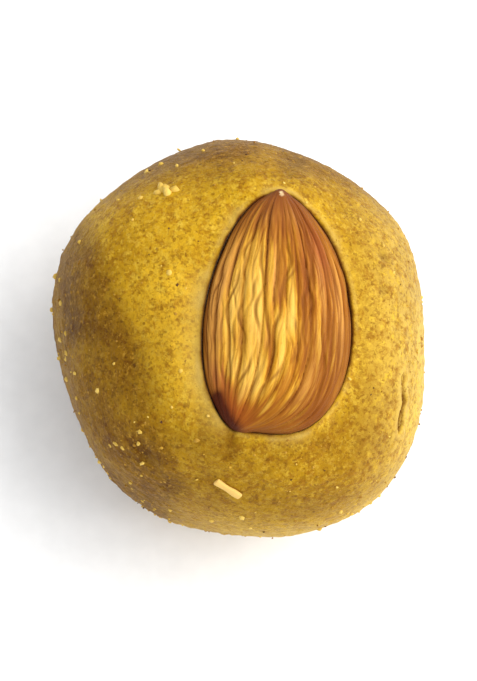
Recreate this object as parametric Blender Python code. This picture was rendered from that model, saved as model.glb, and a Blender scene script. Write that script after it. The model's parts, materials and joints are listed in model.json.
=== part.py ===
"""A besan ladoo: a hand-rolled ball of roasted gram flour with one whole almond pressed into its crown.

Units are metres and +Z is up. The origin is at the level of the flat foot that the ball rests on,
under the middle of the ball's box.
+Y is the way that the almond's tip points, and +X is to the right of it.
The almond lies in a socket of its own shape, with a small gap all round it.
"""

import math

import bmesh
import bpy
from mathutils import Matrix, Vector

# The ball of paste: its waist is its widest level, and its foot is cut off a little above its
# lowest point
BALL_WIDTH = 0.0381
BALL_DEPTH = 0.0407
CROWN_HEIGHT = 0.0346
WAIST_HEIGHT = 0.0168
FOOT_CUT = 0.0016
FOOT_BLOCK = 0.06
CROWN_POWER = 2.5
UNDERSIDE_POWER = 2.25
BALL_SEGMENTS = 64
BALL_RINGS = 32

# The lobes of its outline, seen from above: how many, how deep as a share of the radius, and the
# direction of one of them from +X, in degrees
OUTLINE_LOBES = (
    (2, 0.027, -45.0),
    (3, 0.017, 52.0),
    (4, 0.011, -42.0),
    (5, 0.018, 14.0),
    (6, 0.0075, -23.0),
)

# The low waves that the palms leave in it: the way each one runs, its length and its height
PALM_WAVES = (
    (Vector((0.8, 0.5, 0.3)), 0.021, 0.00018),
    (Vector((-0.4, 0.7, 0.6)), 0.016, 0.00013),
    (Vector((0.3, -0.5, 0.8)), 0.012, 0.00010),
)

# The almond
ALMOND_LENGTH = 0.0235
ALMOND_WIDTH = 0.0144
ALMOND_THICKNESS = 0.0078
ALMOND_BOW = 0.0004
ALMOND_AT = Vector((0.00205, -0.00125, CROWN_HEIGHT - 0.0016))
ALMOND_TURN = math.radians(-4.3)
ALMOND_LEAN_RIGHT = math.radians(4.0)
ALMOND_LEAN_FRONT = math.radians(4.0)
ALMOND_SEGMENTS = 60
ALMOND_RINGS = 28

# Its outline and its thickness both rise as a power of the distance from the tip, and fall as a
# power of the distance from the broad end
OUTLINE_POWERS = (0.57, 0.39)
THICKNESS_POWERS = (0.62, 0.46)
EDGE_POWER = 1.85

# Shares close to the two ends, where the outline is still wide enough to measure a distance from
OUTLINE_START, OUTLINE_END = 0.03, 0.97

RIDGES = 12
RIDGE_HEIGHT = 0.00010

# The socket
SOCKET_GAP = 0.0003
LIP_WIDTH = 0.0080
LIP_DROP = 0.0002

PASTE_COLOUR = (0.60, 0.37, 0.06, 1.0)
ALMOND_COLOUR = (0.50, 0.19, 0.05, 1.0)


def clear_scene():
    for obj in list(bpy.data.objects):
        bpy.data.objects.remove(obj)


def make_collection(name):
    collection = bpy.data.collections.new(name)
    bpy.context.scene.collection.children.link(collection)
    return collection


def make_material(name, colour, roughness):
    material = bpy.data.materials.new(name)
    material.use_nodes = True
    shader = material.node_tree.nodes["Principled BSDF"]
    shader.inputs["Base Color"].default_value = colour
    shader.inputs["Roughness"].default_value = roughness
    shader.inputs["Metallic"].default_value = 0.0
    return material


def make_object(name, bm, collection, material):
    """A smooth-shaded object from a bmesh, which is freed."""
    mesh = bpy.data.meshes.new(name)
    bm.to_mesh(mesh)
    bm.free()
    mesh.shade_smooth()
    mesh.materials.append(material)
    obj = bpy.data.objects.new(name, mesh)
    collection.objects.link(obj)
    return obj


def almond_placement():
    """From the almond's own frame, with its tip at +Y and its upper face at +Z, to the world."""
    turn = Matrix.Rotation(ALMOND_TURN, 4, "Z")
    lean = Matrix.Rotation(ALMOND_LEAN_RIGHT, 4, "Y") @ Matrix.Rotation(ALMOND_LEAN_FRONT, 4, "X")
    return Matrix.Translation(ALMOND_AT) @ lean @ turn


def rise_and_fall(share, powers):
    """0 at both ends and 1 at its highest, for a share of the way from the tip to the broad end."""
    rise, fall = powers
    peak = rise / (rise + fall)
    highest = peak**rise * (1 - peak) ** fall
    return share**rise * (1 - share) ** fall / highest


def almond_bow(share):
    """How far the almond's middle line stands to the right of a straight one."""
    return ALMOND_BOW * math.sin(math.pi * share)


def almond_point(share, around, gap, ridge_height):
    """A point of the almond's skin, in its own frame.

    share runs from 0 at the tip to 1 at the broad end, and around is the angle from its right edge.
    gap makes the almond larger all round, which is how the socket is made.
    """
    relief = ridge_height * math.sin(math.pi * share) * math.cos(RIDGES * around)
    wide = (ALMOND_WIDTH / 2 + gap) * rise_and_fall(share, OUTLINE_POWERS) + relief
    thick = (ALMOND_THICKNESS / 2 + gap) * rise_and_fall(share, THICKNESS_POWERS) + relief
    across, up = math.cos(around), math.sin(around)
    roundness = (abs(across) ** EDGE_POWER + abs(up) ** EDGE_POWER) ** (-1 / EDGE_POWER)
    return Vector((
        wide * across * roundness + almond_bow(share),
        (0.5 - share) * (ALMOND_LENGTH + 2 * gap),
        thick * up * roundness,
    ))


def almond_bmesh(gap, ridge_height):
    """A sphere whose upper pole becomes the almond's tip and whose lower pole its broad end."""
    bm = bmesh.new()
    bmesh.ops.create_uvsphere(
        bm, u_segments=ALMOND_SEGMENTS, v_segments=ALMOND_RINGS, radius=1.0
    )
    for vertex in bm.verts:
        share = min(1.0, max(0.0, (1 - vertex.co.z) / 2))
        around = math.atan2(-vertex.co.y, vertex.co.x)
        vertex.co = almond_point(share, around, gap, ridge_height)
    return bm


def outline_stretch(angle):
    """How far the ball's outline stands out at an angle from +X, as a share of its radius."""
    return 1 + sum(
        depth * math.cos(count * (angle - math.radians(direction)))
        for count, depth, direction in OUTLINE_LOBES
    )


def ball_point(direction):
    """A point of the ball of paste before the almond is pressed in, from a unit direction."""
    power = CROWN_POWER if direction.z > 0 else UNDERSIDE_POWER
    flat = math.hypot(direction.x, direction.y)
    reach = (flat**power + abs(direction.z) ** power) ** (-1 / power)
    stretch = outline_stretch(math.atan2(direction.y, direction.x))
    half_height = CROWN_HEIGHT - WAIST_HEIGHT if direction.z > 0 else WAIST_HEIGHT + FOOT_CUT
    point = Vector((
        direction.x * reach * stretch * BALL_WIDTH / 2,
        direction.y * reach * stretch * BALL_DEPTH / 2,
        direction.z * reach * half_height,
    ))
    wave = sum(
        height * math.sin(2 * math.pi * point.dot(run.normalized()) / length)
        for run, length, height in PALM_WAVES
    )
    return point + direction * wave


def set_extent(points, axis, size):
    """Moves and scales the points along one axis, so that they span size about 0."""
    low = min(point[axis] for point in points)
    high = max(point[axis] for point in points)
    for point in points:
        point[axis] = (point[axis] - (low + high) / 2) * size / (high - low)


def smooth_step(value):
    value = min(1.0, max(0.0, value))
    return value * value * (3 - 2 * value)


def distance_from_edge(local):
    """Roughly how far a point in the almond's frame is from the disc that its widest line bounds."""
    share = min(OUTLINE_END, max(OUTLINE_START, 0.5 - local.y / ALMOND_LENGTH))
    half_width = ALMOND_WIDTH / 2 * rise_and_fall(share, OUTLINE_POWERS)
    beside = max(0.0, abs(local.x - almond_bow(share)) - half_width)
    beyond = max(0.0, abs(local.y) - ALMOND_LENGTH / 2)
    return math.hypot(beside, beyond, local.z)


def press_almond_in(points):
    """Brings the paste near the almond to the level of its edge, as the thumb does."""
    placement = almond_placement()
    to_almond = placement.inverted()
    for point in points:
        if point.z < WAIST_HEIGHT:
            continue
        local = to_almond @ point
        hold = (1 - smooth_step(distance_from_edge(local) / LIP_WIDTH)) ** 2
        edge_level = (placement @ Vector((local.x, local.y, -LIP_DROP))).z
        point.z += hold * (edge_level - point.z)


def make_ball(collection, material):
    bm = bmesh.new()
    bmesh.ops.create_uvsphere(bm, u_segments=BALL_SEGMENTS, v_segments=BALL_RINGS, radius=1.0)
    points = [ball_point(vertex.co.normalized()) for vertex in bm.verts]
    set_extent(points, 0, BALL_WIDTH)
    set_extent(points, 1, BALL_DEPTH)
    for point in points:
        point.z += WAIST_HEIGHT
    press_almond_in(points)
    for vertex, point in zip(bm.verts, points):
        vertex.co = point
    return make_object("besan_ball", bm, collection, material)


def cut_with(target, name, bm, placement, collection, material):
    """Takes the shape in the bmesh, placed by a matrix, out of the target."""
    cutter = make_object(name, bm, collection, material)
    cutter.matrix_world = placement
    cutter.hide_render = True
    cutter.display_type = "WIRE"
    cut = target.modifiers.new(name, "BOOLEAN")
    cut.operation = "DIFFERENCE"
    cut.solver = "EXACT"
    cut.object = cutter


def cut_foot(ball, collection, material):
    """The flat spot under the ball, where it settles on its own weight while it is warm."""
    bm = bmesh.new()
    bmesh.ops.create_cube(bm, size=FOOT_BLOCK)
    placement = Matrix.Translation((0, 0, -FOOT_BLOCK / 2))
    cut_with(ball, "foot_cutter", bm, placement, collection, material)


def cut_socket(ball, collection, material):
    """The hollow that the almond leaves in the paste."""
    bm = almond_bmesh(SOCKET_GAP, 0.0)
    cut_with(ball, "socket_cutter", bm, almond_placement(), collection, material)


def make_almond(collection, material):
    almond = make_object("almond", almond_bmesh(0.0, RIDGE_HEIGHT), collection, material)
    almond.matrix_world = almond_placement()


def main():
    clear_scene()
    parts = make_collection("besan_ladoo")
    cutters = make_collection("cutters")
    paste = make_material("besan_paste", PASTE_COLOUR, 0.75)
    skin = make_material("almond_skin", ALMOND_COLOUR, 0.5)
    ball = make_ball(parts, paste)
    cut_foot(ball, cutters, paste)
    cut_socket(ball, cutters, paste)
    make_almond(parts, skin)


main()
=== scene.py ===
# %% [markdown]
# # A besan ladoo with an almond in its crown
#
# This lesson builds the looks of a hand-rolled sweet. Two solids are already there, and they hold
# the true sizes: a ball of roasted gram flour paste, and the almond that sits in a socket in its
# crown. Here each gets a finer surface that stands for it, and the small things that make the paste
# look like food are added: crumbs, coarse pale grains, dark husk specks and one pale sliver.
# Everything is in metres, so sizes below are written in millimetres and multiplied by MM.

import itertools
import json
import math

import bpy
import numpy as np
from mathutils import Matrix, Vector

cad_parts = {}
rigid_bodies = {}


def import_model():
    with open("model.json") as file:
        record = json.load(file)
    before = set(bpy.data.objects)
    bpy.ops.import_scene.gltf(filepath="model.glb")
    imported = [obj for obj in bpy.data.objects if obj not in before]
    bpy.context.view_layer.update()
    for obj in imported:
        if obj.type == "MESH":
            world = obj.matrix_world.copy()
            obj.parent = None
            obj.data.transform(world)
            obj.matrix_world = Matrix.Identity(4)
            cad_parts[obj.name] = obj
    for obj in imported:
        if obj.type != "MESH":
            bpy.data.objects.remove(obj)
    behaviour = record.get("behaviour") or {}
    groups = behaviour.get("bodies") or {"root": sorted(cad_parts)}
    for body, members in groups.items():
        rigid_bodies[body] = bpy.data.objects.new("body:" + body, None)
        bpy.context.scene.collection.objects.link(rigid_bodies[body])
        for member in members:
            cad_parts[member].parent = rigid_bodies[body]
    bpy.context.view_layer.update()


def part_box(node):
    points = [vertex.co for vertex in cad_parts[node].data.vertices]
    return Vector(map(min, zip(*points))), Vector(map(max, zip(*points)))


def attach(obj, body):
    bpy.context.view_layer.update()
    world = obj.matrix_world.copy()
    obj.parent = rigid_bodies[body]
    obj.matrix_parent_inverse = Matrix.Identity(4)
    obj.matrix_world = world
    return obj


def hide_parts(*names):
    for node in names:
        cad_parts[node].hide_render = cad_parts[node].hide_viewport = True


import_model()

MM = 0.001
ball_low, ball_high = (np.array(corner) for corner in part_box("besan_ball"))
ball_size = ball_high - ball_low
print("ball, mm:", np.round(ball_size / MM, 2))

# %% [markdown]
# ## The form of the ball
#
# A ball rolled between two palms is close to a sphere but never one. This one is squat, fuller at two
# sides and flatter at the others. One formula gives all of that: a superellipse stands in for the
# circle, a few cosine lobes push the outline in and out, and three long waves are the marks of the
# palms. The same formula made the solid, so the finer surface falls on it exactly. It takes a
# direction from the middle of the ball's waist and gives the point of the surface that lies that way.

# %% The ball's formula
CROWN_HEIGHT = 34.6 * MM
WAIST_HEIGHT = 16.8 * MM
FOOT_CUT = 1.6 * MM
CROWN_POWER = 2.5
UNDERSIDE_POWER = 2.25
OUTLINE_LOBES = (
    (2, 0.027, -45.0),
    (3, 0.017, 52.0),
    (4, 0.011, -42.0),
    (5, 0.018, 14.0),
    (6, 0.0075, -23.0),
)
PALM_WAVES = (
    ((0.8, 0.5, 0.3), 21 * MM, 0.18 * MM),
    ((-0.4, 0.7, 0.6), 16 * MM, 0.13 * MM),
    ((0.3, -0.5, 0.8), 12 * MM, 0.10 * MM),
)


def unit(vectors):
    return vectors / np.linalg.norm(vectors, axis=-1, keepdims=True)


def directions_at(azimuth, elevation):
    """Unit directions from angles in radians: azimuth from +X towards +Y, elevation from the waist."""
    level = np.cos(elevation)
    return np.stack([level * np.cos(azimuth), level * np.sin(azimuth), np.sin(elevation)], axis=-1)


def lobed_ball(directions):
    """A superellipse |r|^p + |z|^p = 1 turned about +Z, times the lobes, plus the palms' waves."""
    x, y, z = np.moveaxis(directions, -1, 0)
    power = np.where(z > 0, CROWN_POWER, UNDERSIDE_POWER)
    reach = (np.hypot(x, y) ** power + np.abs(z) ** power) ** (-1 / power)
    stretch = 1 + sum(
        depth * np.cos(count * (np.arctan2(y, x) - math.radians(direction)))
        for count, depth, direction in OUTLINE_LOBES
    )
    half_height = np.where(z > 0, CROWN_HEIGHT - WAIST_HEIGHT, WAIST_HEIGHT + FOOT_CUT)
    level_reach = reach * stretch / 2
    points = np.stack(
        [x * level_reach * ball_size[0], y * level_reach * ball_size[1], z * reach * half_height],
        axis=-1,
    )
    wave = sum(
        height * np.sin(2 * np.pi * points @ unit(np.array(run)) / length)
        for run, length, height in PALM_WAVES
    )
    return points + directions * wave[..., None]


print("a point of the crown, mm:", np.round(lobed_ball(np.array([[0, 0, 1.0]])) / MM, 2))

# %% [markdown]
# The lobes and waves push the form a little past its sizes, and off its middle. So it is sampled once
# all over, and its width and depth are stretched to the solid's own box. Reading the sizes back from
# the solid is safer than typing them twice.

# %% Fit the formula to the solid's box
sphere_azimuth, sphere_elevation = np.meshgrid(
    np.linspace(0, 2 * np.pi, 361), np.linspace(-np.pi / 2, np.pi / 2, 181)
)
sampled_ball = lobed_ball(directions_at(sphere_azimuth, sphere_elevation)).reshape(-1, 3)
form_low, form_high = sampled_ball.min(axis=0), sampled_ball.max(axis=0)
form_scale = np.append(ball_size[:2] / (form_high - form_low)[:2], 1)
form_middle = np.append((form_low + form_high)[:2] / 2, -WAIST_HEIGHT)


def ball_form(directions):
    """The lobed ball, moved and scaled so that its sides touch the solid's box and it stands at 0."""
    return (lobed_ball(directions) - form_middle) * form_scale


print("form scale:", np.round(form_scale, 4))

# %% [markdown]
# ## The form of the almond
#
# A whole almond is a flat teardrop. Its half width and half thickness are both a product of two
# powers: one makes it rise from the tip, the other makes it fall to the broad end. Across, each slice
# is again a superellipse, a little sharper than an ellipse at its edges. Its place in the crown has a
# small turn and a small lean, because it was pressed in by hand.

# %% The almond's formula and its place
ALMOND_LENGTH = 23.5 * MM
ALMOND_WIDTH = 14.4 * MM
ALMOND_THICKNESS = 7.8 * MM
ALMOND_BOW = 0.4 * MM
OUTLINE_POWERS = (0.57, 0.39)
THICKNESS_POWERS = (0.62, 0.46)
EDGE_POWER = 1.85

almond_place = (
    Matrix.Translation((2.05 * MM, -1.25 * MM, CROWN_HEIGHT - 1.6 * MM))
    @ Matrix.Rotation(math.radians(4.0), 4, "Y")
    @ Matrix.Rotation(math.radians(4.0), 4, "X")
    @ Matrix.Rotation(math.radians(-4.3), 4, "Z")
)
almond_turn = np.array(almond_place.to_3x3())
almond_middle = np.array(almond_place.translation)


def to_world(local):
    return local @ almond_turn.T + almond_middle


def to_almond(points):
    return (points - almond_middle) @ almond_turn


def rise_and_fall(share, powers):
    """share^a (1 - share)^b, divided by its highest value: 0 at both ends and 1 at its highest."""
    rise, fall = powers
    peak = rise / (rise + fall)
    return share**rise * (1 - share) ** fall / (peak**rise * (1 - peak) ** fall)


def half_width(share):
    return ALMOND_WIDTH / 2 * rise_and_fall(share, OUTLINE_POWERS)


def half_thickness(share):
    return ALMOND_THICKNESS / 2 * rise_and_fall(share, THICKNESS_POWERS)


def bow(share):
    return ALMOND_BOW * np.sin(np.pi * share)


def almond_form(share, around):
    """Points of the skin in the almond's own frame: a superellipse slice at each share of its length."""
    across, up = np.cos(around), np.sin(around)
    roundness = (np.abs(across) ** EDGE_POWER + np.abs(up) ** EDGE_POWER) ** (-1 / EDGE_POWER)
    return np.stack(
        [
            half_width(share) * across * roundness + bow(share),
            (0.5 - share) * ALMOND_LENGTH + 0 * around,
            half_thickness(share) * up * roundness,
        ],
        axis=-1,
    )


print("almond middle, mm:", np.round(almond_middle / MM, 2))

# %% [markdown]
# ## Noise that can be laid on a surface
#
# Real paste is random, and that randomness has to be in the mesh, so that it shows at the edge of the
# ball as well as on its face. Two kinds are enough. Lattice noise is soft and wavy: random values on
# the corners of small cubes, blended between them. Scattered bumps are grains: one placed at random
# in each small cube, each with its own radius and height. Both are worked out in space and not on the
# grid, so neither stretches where the grid does.

# %% Two kinds of noise
NOISE_TABLE = 64


def smooth_step(value):
    """3t^2 - 2t^3 between 0 and 1: level at both ends."""
    value = np.clip(value, 0, 1)
    return value * value * (3 - 2 * value)


def lattice_noise(points, wavelength, seed):
    """Between -1 and 1: random values at a lattice's corners, blended by 6t^5 - 15t^4 + 10t^3."""
    table = np.random.default_rng(seed).uniform(-1, 1, (NOISE_TABLE,) * 3)
    place = points / wavelength
    cell = np.floor(place).astype(int)
    t = place - cell
    t = t**3 * (t * (6 * t - 15) + 10)
    total = np.zeros(points.shape[:-1])
    for corner in itertools.product((0, 1), repeat=3):
        weight = np.prod(np.where(corner, t, 1 - t), axis=-1)
        index = (cell + np.array(corner)) % NOISE_TABLE
        total += weight * table[index[..., 0], index[..., 1], index[..., 2]]
    return total


def layered_noise(points, wavelength, layers, seed):
    """Lattice noise with finer and weaker layers added, each half the size of the one before."""
    total = sum(
        lattice_noise(points + 7.3 * wavelength * layer, wavelength / 2**layer, seed + layer) / 2**layer
        for layer in range(layers)
    )
    return total / (2 - 0.5 ** (layers - 1))


def scattered_bumps(points, spacing, radius, share, seed):
    """Round bumps (1 - (d / r)^2)^2, one in each cube of a lattice, of which only a share are kept.

    radius is the smallest and largest, and a bump's height is its radius over the largest.
    """
    rng = np.random.default_rng(seed)
    shape = (NOISE_TABLE,) * 3
    jitter = rng.uniform(0, 1, shape + (3,))
    size = np.where(rng.uniform(0, 1, shape) < share, rng.uniform(*radius, shape), 0)
    place = points / spacing
    cell = np.floor(place).astype(int)
    total = np.zeros(points.shape[:-1])
    for neighbour in itertools.product((-1, 0, 1), repeat=3):
        corner = cell + np.array(neighbour)
        index = tuple(np.moveaxis(corner % NOISE_TABLE, -1, 0))
        gap = np.linalg.norm(place - corner - jitter[index], axis=-1) * spacing
        reach = np.maximum(size[index], 1e-9)
        total += np.clip(1 - (gap / reach) ** 2, 0, 1) ** 2 * size[index] / radius[1]
    return total


noise_test = np.linspace(0, 0.1, 3000).reshape(-1, 3)
print("soft noise reaches", round(np.abs(layered_noise(noise_test, 6 * MM, 3, 11)).max(), 2))

# %% [markdown]
# ## A grid for the ball with a hole for the almond
#
# The grid is made of rings, like the layers of an onion seen from above. The first rings line the
# socket under the almond, and the next ones stand at its edge. The rest spread over the crown and
# close under the foot. Every ring has the same number of points, so quads join one ring to the next,
# and only the two poles have triangles. A sphere from the menu would have its rows cut across the
# almond's edge, and its lip would look torn.

# %% The almond's edge as a loop
COLUMNS = 460
RIM_STEPS = 3000
CLEARANCE = 0.05 * MM

azimuths = np.linspace(0, 2 * np.pi, COLUMNS, endpoint=False)


def almond_rim(steps):
    """The widest line of the almond as a closed loop in its own frame: right edge, then left edge."""
    share = (1 - np.cos(np.linspace(0, np.pi, steps))) / 2
    right = almond_form(share, np.zeros(steps))
    left = almond_form(share, np.full(steps, np.pi))
    return np.concatenate([right[::-1], left[1:-1]])


def rim_by_azimuth(wanted):
    """The rim points that lie at the wanted azimuths, seen from the ball's own middle line."""
    rim = almond_rim(RIM_STEPS)
    world = to_world(rim)
    angle = np.arctan2(world[:, 1], world[:, 0]) % (2 * np.pi)
    order = np.argsort(angle)
    columns = [np.interp(wanted, angle[order], rim[order, axis], period=2 * np.pi) for axis in range(3)]
    return np.stack(columns, axis=-1)


rim = rim_by_azimuth(azimuths)
middle_of_rim = rim.mean(axis=0)
grown_rim = rim + unit(rim - middle_of_rim) * CLEARANCE
print("rim, mm:", np.round((rim.max(axis=0) - rim.min(axis=0)) / MM, 2))

# %% [markdown]
# A thumb presses the almond in, and the warm paste round it gives way: up to 8 mm off it is drawn to
# the level of the almond's edge. Then each column of the grid is one walk from a point of the rim,
# along a great circle, to the foot.

# %% The rings outside the rim
LIP_WIDTH = 8.0 * MM
LIP_LEVEL = 0.05 * MM
OUTER_RINGS = 204
RING_CROWDING = 0.38
RING_POWER = 2.2


def outside_almond(local):
    """How far a point in the almond's frame is from the flat disc that its widest line bounds."""
    share = np.clip(0.5 - local[..., 1] / ALMOND_LENGTH, 0.03, 0.97)
    beside = np.maximum(0, np.abs(local[..., 0] - bow(share)) - half_width(share))
    beyond = np.maximum(0, np.abs(local[..., 1]) - ALMOND_LENGTH / 2)
    return np.sqrt(beside**2 + beyond**2 + local[..., 2] ** 2)


def press_almond_in(points):
    """Near the almond, the paste is brought to the level of its widest line, by a smooth step squared."""
    local = to_almond(points)
    hold = (1 - smooth_step(outside_almond(local) / LIP_WIDTH)) ** 2
    hold = np.where(points[..., 2] > WAIST_HEIGHT, hold, 0)
    level = local.copy()
    level[..., 2] = LIP_LEVEL
    pressed = points.copy()
    pressed[..., 2] += hold * (to_world(level)[..., 2] - points[..., 2])
    return pressed


def slide(start, end, shares):
    """Unit directions on the great circle from start to end, at each share of the way."""
    angle = np.arccos(np.clip(start @ end, -1, 1))[None, :, None]
    shares = shares[:, None, None]
    first = np.sin((1 - shares) * angle) * start[None]
    second = np.sin(shares * angle) * end
    return (first + second) / np.sin(angle)


# The rings stand closer together near the almond than at the foot
even_share = np.linspace(0, 1, OUTER_RINGS)
ring_share = even_share * (1 - RING_CROWDING + RING_CROWDING * even_share**RING_POWER)
waist_middle = np.array([0, 0, WAIST_HEIGHT])
start_directions = unit(to_world(grown_rim) - waist_middle)
outer_directions = slide(start_directions, np.array([0, 0, -1.0]), ring_share[:-1])
outer_rings = press_almond_in(ball_form(outer_directions))
print("outer rings:", outer_rings.shape, "first ring, highest mm:", outer_rings[0, :, 2].max() / MM)

# %% [markdown]
# The first outer ring has to stand exactly on the almond's rim, but the ball's formula puts it only
# close to there. So the rings near the rim are shifted sideways by what is missing, and the shift
# fades out over a few millimetres.

# %% Fit the rings to the almond and line the socket
FADE_WIDTH = 5 * MM
SOCKET_RINGS = 9
SOCKET_DEPTH_SHARE = 1.02


def fit_to_rim(rings, target):
    """Moves the first ring onto the target, and each further ring by a share that fades with distance."""
    missing = target - rings[0]
    travelled = np.linalg.norm(rings - rings[0], axis=-1)
    fade = 1 - smooth_step(travelled / FADE_WIDTH)
    moved = rings.copy()
    moved[..., :2] += fade[..., None] * missing[None, :, :2]
    return moved


def socket_floor(local):
    """The almond's underside as a height over its own plan, a little deeper for the clearance."""
    share = np.clip(0.5 - local[..., 1] / ALMOND_LENGTH, 0.001, 0.999)
    across = np.clip(np.abs(local[..., 0] - bow(share)) / half_width(share), 0, 1)
    depth = half_thickness(share) * (1 - across**EDGE_POWER) ** (1 / EDGE_POWER)
    return -SOCKET_DEPTH_SHARE * depth - CLEARANCE


outer_rings = fit_to_rim(outer_rings, to_world(grown_rim))
socket_share = np.sin(np.linspace(0, np.pi / 2, SOCKET_RINGS + 1)[1:])[:, None, None]
socket_local = middle_of_rim + socket_share * (grown_rim - middle_of_rim)[None]
socket_local[..., 2] = socket_floor(socket_local)
socket_rings = to_world(socket_local)
socket_lowest = np.array([middle_of_rim[0], middle_of_rim[1], -ALMOND_THICKNESS / 2 - CLEARANCE])
socket_middle = to_world(socket_lowest)
ball_rings = np.concatenate([socket_rings, outer_rings])
foot_middle = np.array([outer_rings[-1, :, 0].mean(), outer_rings[-1, :, 1].mean(), -FOOT_CUT])
print("rings in all:", len(ball_rings))

# %% [markdown]
# ## The relief of the paste
#
# Gram flour is fine, but it is roasted with some coarse semolina and bound with ghee and sugar, so the
# surface is sandy: grains of about half a millimetre stand a tenth of a millimetre proud. On the lower
# sides, where the palms rub less, it is rougher and crumbly. There are pits where grains fell out, two
# big dents, two small ones and a short crack. All of this is added along the surface's own direction
# outwards. Three helpers come first: that direction, the distance from a path, and a soft bell curve.

# %% Three helpers for surfaces
def grid_normals(rings):
    """Unit outward normals: the step from ring to ring crossed with the step from column to column.

    The tiny number keeps a step of no length from being divided by nothing.
    """
    outwards = np.gradient(rings, axis=0)
    sideways = np.roll(rings, -1, axis=1) - np.roll(rings, 1, axis=1)
    return unit(np.cross(outwards, sideways) + 1e-15)


def distance_to_path(points, path):
    """The distance from each point to the nearest of the straight stretches of a path."""
    nearest = np.full(points.shape[:-1], np.inf)
    for start, end in zip(path[:-1], path[1:]):
        run = end - start
        along = np.clip((points - start) @ run / (run @ run), 0, 1)
        nearest = np.minimum(nearest, np.linalg.norm(points - start - along[..., None] * run, axis=-1))
    return nearest


def bell(distance, width):
    """exp(-(d / w)^2): 1 at no distance, about a third at one width, nothing at two."""
    return np.exp(-((distance / width) ** 2))


print("a bell curve at one width:", round(bell(1.0, 1.0), 3))

# %% [markdown]
# A few marks have a place of their own. Dry paste splits where it is pressed too hard, and its edges
# rise beside the split: the crack is a bell curve across a crooked path, with a low bank along it. The
# crease below the almond is a wide and shallow one. A path with a distance from it does all of this;
# cutting the mesh open would need a new grid.

# %% Where the paste is crumbly and where it is cracked
CRACK = np.array([(14.9, -6.9, 28.7), (15.1, -9.0, 27.6), (14.7, -10.7, 27.3), (14.6, -12.0, 26.7)]) * MM
CRACK_WIDTH = 0.10 * MM
CRACK_DEPTH = 0.45 * MM
CRACK_BANK = 0.55 * MM
BANK_HEIGHT = 0.14 * MM
BANK_WIDTH = 0.35 * MM

CREASE = np.array([(-2.4, -12.6, 32.3), (-2.7, -15.0, 30.8)]) * MM
CREASE_DEPTH = 0.13 * MM
CREASE_WIDTH = 0.7 * MM

# One more crumbly place, at the front left
CRUMBLY_SPOT = np.array((-11.5, -13.0, 25.0)) * MM
CRUMBLY_REACH = 4.5 * MM


def crumbliness(points):
    """0 on the smooth crown to 1 on the crumbly lower sides, in soft-edged patches."""
    low = 1 - smooth_step((points[..., 2] - 15 * MM) / (14 * MM))
    front_left = bell(np.linalg.norm(points - CRUMBLY_SPOT, axis=-1), CRUMBLY_REACH)
    patches = smooth_step(0.5 + 1.4 * layered_noise(points, 7 * MM, 2, 31))
    return np.clip(0.18 * patches + 0.75 * low * (0.3 + 0.7 * patches) + 0.7 * front_left, 0, 1)


def crack_line(points):
    """The distance from the crack's path, which noise makes wander from side to side."""
    wander = 0.3 * MM * lattice_noise(points, 1.1 * MM, 15)
    return np.abs(distance_to_path(points, CRACK) + wander - 0.1 * MM)


def crack_strength(points):
    """The crack is deepest and darkest in its lower half."""
    return 0.25 + 0.75 * smooth_step((28.3 * MM - points[..., 2]) / (0.8 * MM))


crack_run = np.linalg.norm(np.diff(CRACK, axis=0), axis=1).sum()
print("the crack is", round(crack_run / MM, 1), "mm long")

# %% [markdown]
# Now the heights are summed up, in metres. The grains are bumps, the pits are the same bumps turned
# inwards, and both are deeper where the paste is crumbly.

# %% Heights as sums of noise
# Two values each: on the smooth crown, and where the paste is crumbliest
GRAIN_HEIGHT = (0.05 * MM, 0.13 * MM)
COARSE_HEIGHT = (0.03 * MM, 0.19 * MM)
PIT_DEPTH = (0.10 * MM, 0.22 * MM)
MEAN_GRAIN = 0.4
WAVE_HEIGHT = 0.20 * MM

# Each dent's place in millimetres, its width and its depth
DENTS = (
    ((13.3, 4.9, 30.9), 0.7 * MM, 0.28 * MM),
    ((13.0, 1.2, 31.7), 0.6 * MM, 0.20 * MM),
    ((-10.5, -13.6, 27.0), 1.6 * MM, 0.25 * MM),
    ((5.0, 15.5, 28.5), 1.8 * MM, 0.20 * MM),
)


def between(ends, share):
    """In a straight line from the first of two values at share 0 to the last at share 1."""
    first, last = ends
    return first + (last - first) * share


def paste_relief(points):
    """Soft waves and two sizes of grain, less the pits, the crack, the crease and the dents."""
    rough = crumbliness(points)
    height = WAVE_HEIGHT * layered_noise(points, 6 * MM, 3, 11)
    grains = scattered_bumps(points, 0.85 * MM, (0.35 * MM, 0.75 * MM), 0.8, 12)
    coarse = scattered_bumps(points, 1.9 * MM, (0.5 * MM, 1.0 * MM), 0.3, 13)
    pits = scattered_bumps(points, 2.3 * MM, (0.3 * MM, 0.7 * MM), 0.25, 14)
    height += between(GRAIN_HEIGHT, rough) * (grains - MEAN_GRAIN)
    height += between(COARSE_HEIGHT, rough) * coarse - between(PIT_DEPTH, rough) * pits
    crack = crack_line(points)
    height += BANK_HEIGHT * bell(crack - CRACK_BANK, BANK_WIDTH)
    height -= CRACK_DEPTH * crack_strength(points) * bell(crack, CRACK_WIDTH)
    height -= CREASE_DEPTH * bell(distance_to_path(points, CREASE), CREASE_WIDTH)
    for place, width, depth in DENTS:
        height -= depth * bell(np.linalg.norm(points - np.array(place) * MM, axis=-1), width)
    return height


relief = paste_relief(outer_rings)
print("relief, mm: from", round(relief.min() / MM, 3), "to", round(relief.max() / MM, 3))

# %% [markdown]
# Close to the almond other things happen, so each point's distance from its edge is needed.

# %% The distance from the almond's edge
EDGE_STEPS = 60

rim_loop = to_world(almond_rim(EDGE_STEPS))
edge_distance = distance_to_path(outer_rings, np.concatenate([rim_loop, rim_loop[:1]]))
print("farthest from the edge, mm:", round(edge_distance.max() / MM, 1))

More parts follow.
